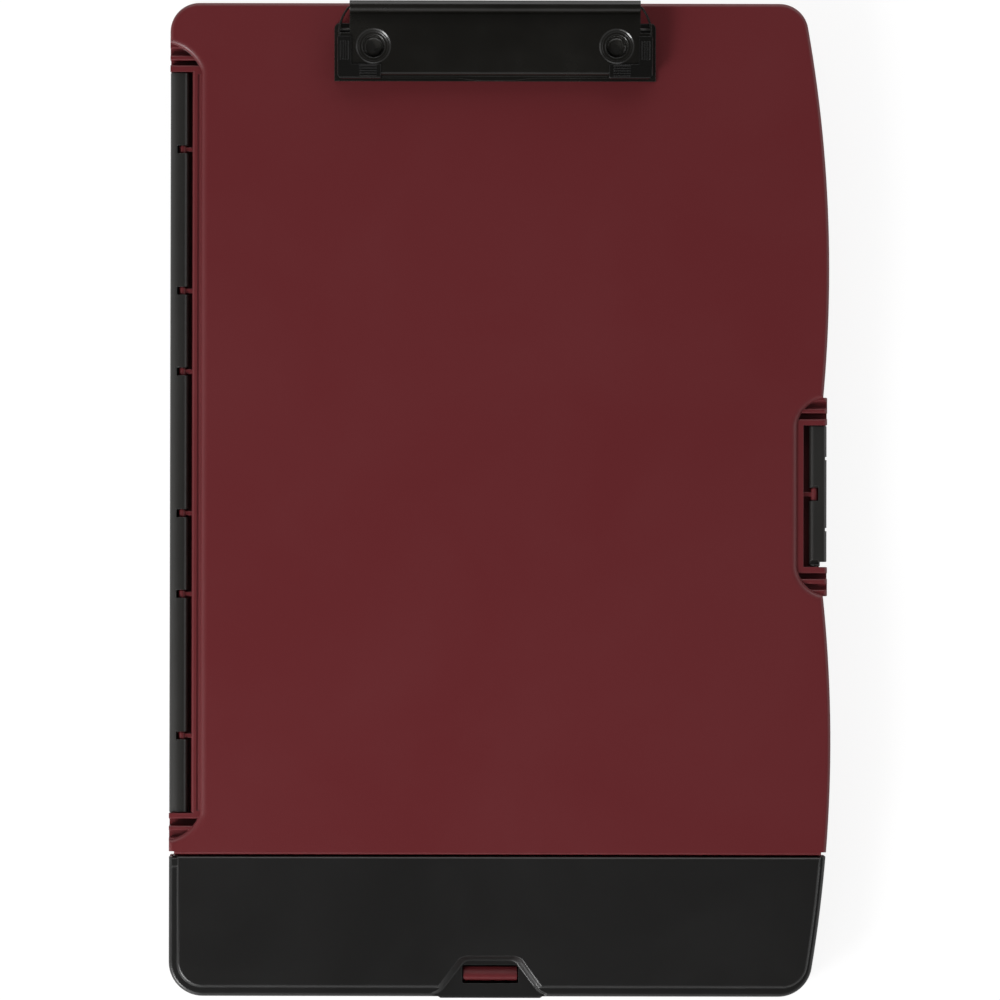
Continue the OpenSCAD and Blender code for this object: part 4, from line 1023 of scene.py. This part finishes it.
def grain_group():
    """Fine moulded grain: a height for bump and a tone for colour"""
    if "Moulded grain" in bpy.data.node_groups:
        return bpy.data.node_groups["Moulded grain"]
    inputs = [("Grains per metre", NUMBER, 2500.0), ("Waviness", NUMBER, 0.3)]
    tree, start, end = new_group("Moulded grain", inputs, [("Height", NUMBER), ("Tone", NUMBER)])
    place = add(tree, "ShaderNodeTexCoord").outputs["Object"]
    scale = start.outputs["Grains per metre"]
    fine = add(tree, "ShaderNodeTexNoise", {"Vector": place, "Scale": scale, "Detail": 3.0,
                                            "Roughness": 0.65})
    cells = add(tree, "ShaderNodeTexVoronoi", {"Vector": place, "Scale": scale})
    wave = add(tree, "ShaderNodeTexNoise", {"Vector": place, "Scale": 45.0, "Detail": 2.0})
    mixed = times(tree, fine.outputs["Fac"], cells.outputs["Distance"])
    soft = times(tree, wave.outputs["Fac"], start.outputs["Waviness"])
    height = add(tree, "ShaderNodeMath", {0: mixed, 1: soft}, operation="ADD")
    tone = add(tree, "ShaderNodeMapRange", {"Value": fine.outputs["Fac"], "From Min": 0.3, "From Max": 0.7})
    tree.links.new(height.outputs[0], end.inputs["Height"])
    tree.links.new(tone.outputs[0], end.inputs["Tone"])
    return tree


def handling_group():
    """Slow patches of handling and faint dust, as two masks"""
    if "Handling" in bpy.data.node_groups:
        return bpy.data.node_groups["Handling"]
    inputs = [("Patch scale", NUMBER, 14.0), ("Speck scale", NUMBER, 900.0)]
    tree, start, end = new_group("Handling", inputs, [("Patches", NUMBER), ("Specks", NUMBER)])
    place = add(tree, "ShaderNodeTexCoord").outputs["Object"]
    patch_scale, speck_scale = start.outputs["Patch scale"], start.outputs["Speck scale"]
    slow = add(tree, "ShaderNodeTexNoise", {"Vector": place, "Scale": patch_scale, "Detail": 5.0,
                                            "Roughness": 0.6, "Distortion": 0.4}).outputs["Fac"]
    patches = add(tree, "ShaderNodeMapRange", {"Value": slow, "From Min": 0.35, "From Max": 0.65})
    fine = add(tree, "ShaderNodeTexNoise", {"Vector": place, "Scale": speck_scale, "Detail": 1.0})
    specks = add(tree, "ShaderNodeMapRange", {"Value": fine.outputs["Fac"], "From Min": 0.7,
                                              "From Max": 0.78})
    tree.links.new(patches.outputs[0], end.inputs["Patches"])
    tree.links.new(specks.outputs[0], end.inputs["Specks"])
    return tree


def edge_group():
    """Rounded shading along moulded edges, and a mask of where the surface turns"""
    if "Soft edges" in bpy.data.node_groups:
        return bpy.data.node_groups["Soft edges"]
    tree, start, end = new_group("Soft edges", [("Radius", NUMBER, 0.0004)],
                                 [("Mask", NUMBER), ("Normal", "NodeSocketVector")])
    turned = add(tree, "ShaderNodeBevel", {"Radius": start.outputs["Radius"]}, samples=4)
    flat = add(tree, "ShaderNodeNewGeometry").outputs["Normal"]
    same = add(tree, "ShaderNodeVectorMath", {0: turned.outputs["Normal"], 1: flat}, operation="DOT_PRODUCT")
    mask = add(tree, "ShaderNodeMapRange", {"Value": same.outputs["Value"], "From Min": 1.0, "From Max": 0.75,
                                            "To Min": 0.0, "To Max": 1.0})
    tree.links.new(mask.outputs[0], end.inputs["Mask"])
    tree.links.new(turned.outputs["Normal"], end.inputs["Normal"])
    return tree


def use(tree, group, **values):
    """Places a node group with its own values, named with underscores for spaces"""
    node = tree.nodes.new("ShaderNodeGroup")
    node.node_tree = group
    for key, value in values.items():
        node.inputs[key.replace("_", " ")].default_value = value
    return node


def blank(name):
    material = bpy.data.materials.new(name)
    material.use_nodes = True
    tree = material.node_tree
    shader = tree.nodes["Principled BSDF"]
    return material, tree, shader


def mix(tree, factor, a, b):
    """Colour between a and b; each argument is a value or a socket"""
    node = tree.nodes.new("ShaderNodeMix")
    node.data_type = "RGBA"
    for index, value in ((0, factor), (6, a), (7, b)):
        if isinstance(value, bpy.types.NodeSocket):
            tree.links.new(value, node.inputs[index])
        else:
            node.inputs[index].default_value = value
    return node.outputs[2]


def tinted(colour, gain, lift=0.0):
    """Colour made lighter or darker by gain, then raised by lift"""
    return tuple(min(1.0, c * gain + lift) for c in colour[:3]) + (1.0,)


def roughen(tree, shader, mask, low, high):
    """Roughness that follows a mask between two values"""
    spread = add(tree, "ShaderNodeMapRange", {"Value": mask, "To Min": low, "To Max": high})
    tree.links.new(spread.outputs[0], shader.inputs["Roughness"])


def emboss(tree, shader, height, strength, distance, **under):
    """Bump from a height; under may name the Normal that it starts from"""
    values = {"Height": height, "Strength": strength, "Distance": distance, **under}
    bump = add(tree, "ShaderNodeBump", values)
    tree.links.new(bump.outputs[0], shader.inputs["Normal"])


def plastic(name, colour, rough, grains, depth, specular, worn):
    """Moulded plastic with fine grain, faint handling and slightly lighter edges"""
    material, tree, shader = blank(name)
    grain = use(tree, grain_group(), Grains_per_metre=grains, Waviness=0.25)
    hands = use(tree, handling_group())
    edges = use(tree, edge_group(), Radius=0.00035)
    base = mix(tree, grain.outputs["Tone"], tinted(colour, 0.94), tinted(colour, 1.06))
    base = mix(tree, times(tree, hands.outputs["Patches"], SMUDGE), base, tinted(colour, 1.1))
    base = mix(tree, times(tree, edges.outputs["Mask"], worn), base, tinted(colour, 1.25, 0.012))
    base = mix(tree, times(tree, hands.outputs["Specks"], DUST), base, tinted(colour, 1.1, 0.02))
    tree.links.new(base, shader.inputs["Base Color"])
    roughen(tree, shader, hands.outputs["Patches"], rough - PATCH_ROUGH, rough + PATCH_ROUGH)
    emboss(tree, shader, grain.outputs["Height"], 0.6, depth, Normal=edges.outputs["Normal"])
    shader.inputs["Specular IOR Level"].default_value = specular
    return material


def coated_steel(name, colour, rough):
    """Black baked coating on sheet steel: faint ripple, small bright scuffs along edges"""
    material, tree, shader = blank(name)
    grain = use(tree, grain_group(), Grains_per_metre=1400.0, Waviness=0.8)
    hands = use(tree, handling_group(), Patch_scale=30.0)
    edges = use(tree, edge_group(), Radius=0.0003)
    base = mix(tree, hands.outputs["Patches"], tinted(colour, 0.9), tinted(colour, 1.12))
    wear = times(tree, edges.outputs["Mask"], hands.outputs["Patches"])
    base = mix(tree, times(tree, wear, 0.35), base, SCUFF)
    tree.links.new(base, shader.inputs["Base Color"])
    roughen(tree, shader, hands.outputs["Patches"], rough - 0.06, rough + 0.08)
    emboss(tree, shader, grain.outputs["Height"], 0.25, 0.00006, Normal=edges.outputs["Normal"])
    shader.inputs["Specular IOR Level"].default_value = 0.45
    return material


def bare_steel(name, colour, rough):
    """Bare drawn steel with fine lengthwise lines"""
    material, tree, shader = blank(name)
    place = add(tree, "ShaderNodeTexCoord").outputs["Object"]
    drawn = add(tree, "ShaderNodeMapping", {"Vector": place, "Scale": (40.0, 3000.0, 3000.0)}).outputs[0]
    lines = add(tree, "ShaderNodeTexNoise", {"Vector": drawn, "Scale": 1.0, "Detail": 3.0}).outputs["Fac"]
    hands = use(tree, handling_group(), Patch_scale=60.0)
    base = mix(tree, lines, tinted(colour, 0.8), tinted(colour, 1.1))
    base = mix(tree, hands.outputs["Specks"], base, tinted(colour, 0.5))
    tree.links.new(base, shader.inputs["Base Color"])
    roughen(tree, shader, lines, rough - 0.08, rough + 0.1)
    emboss(tree, shader, lines, 0.2, 0.00003)
    shader.inputs["Metallic"].default_value = 1.0
    return material


def floor_paint(name):
    """Pale studio floor that shows white to the camera and keeps a soft shadow"""
    material, tree, shader = blank(name)
    place = add(tree, "ShaderNodeTexCoord").outputs["Object"]
    cloud = add(tree, "ShaderNodeTexNoise", {"Vector": place, "Scale": 9.0, "Detail": 4.0}).outputs["Fac"]
    tone = mix(tree, cloud, tinted(WHITE, 0.86), tinted(WHITE, 0.9))
    tree.links.new(tone, shader.inputs["Base Color"])
    shader.inputs["Roughness"].default_value = 0.8
    emboss(tree, shader, cloud, 0.05, 0.0005)
    rays = add(tree, "ShaderNodeLightPath").outputs
    direct, through = rays["Is Camera Ray"], rays["Is Transmission Ray"]
    seen = add(tree, "ShaderNodeMath", {0: direct, 1: through}, operation="MAXIMUM")
    glow = add(tree, "ShaderNodeEmission", {"Strength": 1.08}).outputs[0]
    share = times(tree, seen.outputs[0], 0.8)
    both = add(tree, "ShaderNodeMixShader", {0: share, 1: shader.outputs[0], 2: glow})
    tree.links.new(both.outputs[0], tree.nodes["Material Output"].inputs["Surface"])
    return material


def finish(name):
    """The named finish, made on first use from the panel's colours"""
    if name in bpy.data.materials:
        return bpy.data.materials[name]
    c = bpy.context.scene.clipboard_finish
    makers = {
        "burgundy plastic": lambda: plastic(name, c.case_colour, 0.38, 2600.0, 0.00005, 0.4, worn=0.2),
        "black plastic": lambda: plastic(name, c.black_colour, 0.34, 2200.0, 0.00004, 0.5, worn=0.2),
        "latch plastic": lambda: plastic(name, c.latch_colour, 0.34, 2200.0, 0.00004, 0.5, worn=0.25),
        "black coated steel": lambda: coated_steel(name, c.clip_colour, 0.2),
        "bright steel": lambda: bare_steel(name, (0.42, 0.41, 0.4), 0.3),
        "dark steel": lambda: bare_steel(name, (0.06, 0.058, 0.056), 0.4),
        "grip rubber": lambda: plastic(name, c.rubber_colour, 0.26, 3200.0, 0.00002, 0.35, worn=0.1),
        # The rivets' finish carries painted light: its colour is lifted to offset the shade in the access
        # holes
        "rivet steel with painted light": lambda: coated_steel(name, c.rivet_painted_light_colour, 0.3),
        "pale floor": lambda: floor_paint(name),
    }
    return makers[name]()


# Settings

def size_setting(**words):
    return FloatProperty(subtype="DISTANCE", unit="LENGTH", precision=5, **words)


def colour_setting(**words):
    return FloatVectorProperty(subtype="COLOR", size=3, min=0, max=1, **words)


class CLIPBOARD_PG_sizes(bpy.types.PropertyGroup):
    """Sizes of the finished pieces that a user would change"""
    rim_round: size_setting(name="Rim rounding", description="Radius of the case's outer edge",
                            default=0.0016, min=0.0005, max=0.0017)
    panel_round: size_setting(name="Panel rounding", description="Radius of a raised panel's edge",
                              default=0.0014, min=0.0005, max=0.0015)
    foot_fillet: size_setting(name="Panel foot", description="Fillet where a raised panel meets the rim",
                              default=0.00012, min=0.00005, max=0.00018)
    seam_round: size_setting(name="Seam rounding", description="Radius of the cover's edge along the lid",
                             default=0.0009, min=0.0003, max=0.0015)
    lid_round: size_setting(name="Lid rounding", description="Radius of the lid's rear edge",
                            default=0.0014, min=0.0005, max=0.002)
    wire_radius: size_setting(name="Spring wire", description="Radius of the spring's wire",
                              default=0.00045, min=0.0003, max=0.0006)
    spring_curls: IntProperty(name="Spring curls", description="Full turns of the spring on the rod",
                              default=6, min=4, max=8)


class CLIPBOARD_PG_finish(bpy.types.PropertyGroup):
    """Colours of the finishes, and the power of the lights"""
    case_colour: colour_setting(name="Case colour", description="Burgundy of cover and tray",
                                default=(0.1085, 0.0128, 0.0157))
    black_colour: colour_setting(name="Black plastic", description="Colour of the pen lid",
                                 default=(0.0072, 0.0069, 0.0067))
    latch_colour: colour_setting(name="Latch colour", description="Colour of latch and hinge spine",
                                 default=(0.0155, 0.0148, 0.0136))
    clip_colour: colour_setting(name="Clip colour", description="Black coating of the clip",
                                default=(0.0068, 0.0063, 0.0052))
    rubber_colour: colour_setting(name="Rubber colour", description="Colour of the corner grips",
                                  default=(0.0042, 0.004, 0.0036))
    # Rivet colour: far lighter than the clip's black coating, as painted light that offsets the shade on the
    # rivet heads inside the access holes
    rivet_painted_light_colour: colour_setting(name="Rivet colour with painted light", description="Coating of the rivets, lightened as painted light against the shade in the access holes",
                                 default=(0.08, 0.077, 0.07))
    key_power: FloatProperty(name="Main light", description="Power of the main light; the others follow it",
                             default=13.0, min=0, unit="POWER")


# Operators

class CLIPBOARD_OT_cover(bpy.types.Operator):
    """Makes the cover with its writing panel, hinge fingers and latch seat"""
    bl_idname = "clipboard.cover"
    bl_label = "Cover"

    def execute(self, context):
        form = make_cover(context.scene.clipboard_sizes)
        settle(form, "cover_shell", "cover", "burgundy plastic", ["cover"])
        return {"FINISHED"}


class CLIPBOARD_OT_tray(bpy.types.Operator):
    """Makes the tray with its partition, lid posts, catch bar and snap tongue"""
    bl_idname = "clipboard.tray"
    bl_label = "Tray"

    def execute(self, context):
        form = make_tray(context.scene.clipboard_sizes)
        settle(form, "tray_shell", "tray", "burgundy plastic", ["tray"])
        return {"FINISHED"}


class CLIPBOARD_OT_pen_lid(bpy.types.Operator):
    """Makes the pen compartment's lid with its finger recess and slot"""
    bl_idname = "clipboard.pen_lid"
    bl_label = "Pen lid"

    def execute(self, context):
        form = make_pen_lid(context.scene.clipboard_sizes)
        settle(form, "pen_lid_shell", "pen_lid", "black plastic", ["pen_lid"])
        return {"FINISHED"}


class CLIPBOARD_OT_spine(bpy.types.Operator):
    """Makes the hinge spine and the latch"""
    bl_idname = "clipboard.spine_and_latch"
    bl_label = "Spine and latch"

    def execute(self, context):
        settle(make_spine(), "spine_bar", "spine", "latch plastic", ["hinge_spine"])
        settle(make_latch(), "latch_plate", "latch", "latch plastic", ["latch"])
        return {"FINISHED"}


class CLIPBOARD_OT_clip(bpy.types.Operator):
    """Makes the clip: base plate, jaw, rivets, washers, rod and corner grips"""
    bl_idname = "clipboard.clip"
    bl_label = "Clip"

    def execute(self, context):
        settle(make_base(), "clip_base_plate", "cover", "black coated steel", ["clip_base"])
        settle(make_jaw(), "clip_jaw_plate", "clip_jaw", "black coated steel", ["clip_jaw"])
        # Rivet heads take the lightened finish, painted light against the shade in the access holes
        settle(make_rivets(), "rivet_heads", "cover", "rivet steel with painted light", ["clip_rivets"])
        settle(make_washers(), "washer_pair", "cover", "bright steel", ["rivet_washers"])
        bar = rod("x", (ROD_Y, ROD_Z), ROD_R, ROD_LOW[0], ROD_HIGH[0], 0.3, 48)
        settle(bar, "pivot_rod", "cover", "dark steel", ["clip_rod"])
        for side, node in ((-1, "grip_left"), (1, "grip_right")):
            grip = make_grip(side)
            settle(grip, node + "_rubber", "clip_jaw", "grip rubber", [node], sharp=40)
        return {"FINISHED"}


class CLIPBOARD_OT_spring(bpy.types.Operator):
    """Makes the spring on the rod, between the cover and the jaw"""
    bl_idname = "clipboard.spring"
    bl_label = "Spring"

    def execute(self, context):
        coil = make_spring(context.scene.clipboard_sizes)
        coil.name = coil.data.name = "spring_wire"
        coil.data.shade_smooth()
        coil.data.materials.append(finish("bright steel"))
        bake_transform(coil)
        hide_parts("clip_spring")
        return {"FINISHED"}


# Stage: the floor in millimetres; the lights as place, aim and size in metres, and share of the main power
FLOOR_HALF = 6000
FLOOR_T = 4.0
LIGHTS = {
    "main_light": ((-0.9, -0.8, 0.86), (0, 0, 0), (0.44, 0.44), 1.0),
    "front_light": ((-1.7, -1.9, 1.15), (0, 0, 0), (2.8, 1.9), 2.9),
    "rear_light": ((0.4, 2.5, 1.1), (0, 0.05, 0), (3.8, 2.0), 2.9),
    "right_light": ((2.7, 0.3, 1.0), (0, 0, 0), (1.6, 2.8), 0.9),
}

# Camera: height above the box and width of its view in metres, width of its sensor in millimetres
CAMERA_UP = 3.0
VIEW_WIDTH = 0.396
SENSOR = 36.0
CAMERA_LEAN = math.radians(0.6)
CAMERA_ROLL = math.radians(0.1)


def lamp(name, place, aim, size, power):
    """Soft rectangular light at a place, turned to its aim"""
    light = bpy.data.lights.new(name, "AREA")
    light.shape = "RECTANGLE"
    light.size, light.size_y = size
    light.energy = power
    obj = bpy.data.objects.new(name, light)
    obj.location = place
    obj.rotation_euler = (Vector(aim) - Vector(place)).to_track_quat("-Z", "Y").to_euler()
    bpy.context.scene.collection.objects.link(obj)


def light_world(scene):
    """Room light that is bright towards the horizon and dim overhead, and shows white to the camera"""
    world = bpy.data.worlds.new("studio air")
    scene.world = world
    world.use_nodes = True
    tree = world.node_tree
    back = tree.nodes["Background"]
    back.inputs["Color"].default_value = (1, 1, 1, 1)
    seen = add(tree, "ShaderNodeLightPath").outputs["Is Camera Ray"]
    way = add(tree, "ShaderNodeTexCoord").outputs["Generated"]
    rise = add(tree, "ShaderNodeSeparateXYZ", {0: way}).outputs["Z"]
    wall = add(tree, "ShaderNodeMapRange", {"Value": rise, "From Min": 0.5, "From Max": 0.85, "To Min": 0.7,
                                            "To Max": 0.08}, interpolation_type="SMOOTHSTEP")
    strength = add(tree, "ShaderNodeMath", {0: seen, 1: wall.outputs[0]}, operation="MAXIMUM")
    tree.links.new(strength.outputs[0], back.inputs["Strength"])


def place_camera(scene):
    """Camera far above the box, leaning and turned by a hair as the photograph shows"""
    camera = bpy.data.cameras.new("photo_camera")
    camera.sensor_width = SENSOR
    camera.lens = SENSOR * CAMERA_UP / VIEW_WIDTH
    eye = bpy.data.objects.new("photo_camera", camera)
    eye.location = (0, -CAMERA_UP * math.sin(CAMERA_LEAN), CASE_H * MM + CAMERA_UP * math.cos(CAMERA_LEAN))
    eye.rotation_euler = (CAMERA_LEAN, 0, CAMERA_ROLL)
    scene.collection.objects.link(eye)
    scene.camera = eye


class CLIPBOARD_OT_stage(bpy.types.Operator):
    """Makes the floor, the lights, the world and the camera straight above the box"""
    bl_idname = "clipboard.stage"
    bl_label = "Stage"

    def execute(self, context):
        scene = context.scene
        floor = box((-FLOOR_HALF, -FLOOR_HALF, -FLOOR_T), (FLOOR_HALF, FLOOR_HALF, 0))
        floor.name = floor.data.name = "studio_floor"
        floor.data.materials.append(finish("pale floor"))
        for name, (place, aim, size, share) in LIGHTS.items():
            lamp(name, place, aim, size, scene.clipboard_finish.key_power * share)
        light_world(scene)
        place_camera(scene)
        scene.view_settings.view_transform = "Standard"
        return {"FINISHED"}


class CLIPBOARD_PT_panel(bpy.types.Panel):
    """Lists the pieces in the order in which they are made"""
    bl_idname = "CLIPBOARD_PT_panel"
    bl_label = "Clipboard box"
    bl_space_type = "VIEW_3D"
    bl_region_type = "UI"
    bl_category = "Clipboard box"

    def draw(self, context):
        for settings in (context.scene.clipboard_sizes, context.scene.clipboard_finish):
            column = self.layout.column()
            for name in settings.__annotations__:
                column.prop(settings, name)
        for operator in OPERATORS:
            self.layout.operator(operator.bl_idname)


OPERATORS = (CLIPBOARD_OT_cover, CLIPBOARD_OT_tray, CLIPBOARD_OT_pen_lid, CLIPBOARD_OT_spine,
             CLIPBOARD_OT_clip, CLIPBOARD_OT_spring, CLIPBOARD_OT_stage)
CLASSES = (CLIPBOARD_PG_sizes, CLIPBOARD_PG_finish) + OPERATORS + (CLIPBOARD_PT_panel,)


def register():
    for cls in CLASSES:
        bpy.utils.register_class(cls)
    bpy.types.Scene.clipboard_sizes = PointerProperty(type=CLIPBOARD_PG_sizes)
    bpy.types.Scene.clipboard_finish = PointerProperty(type=CLIPBOARD_PG_finish)


def unregister():
    del bpy.types.Scene.clipboard_finish
    del bpy.types.Scene.clipboard_sizes
    for cls in reversed(CLASSES):
        bpy.utils.unregister_class(cls)


def main():
    register()
    for operator in OPERATORS:
        family, name = operator.bl_idname.split(".")
        getattr(getattr(bpy.ops, family), name)()


if __name__ == "__main__":
    main()
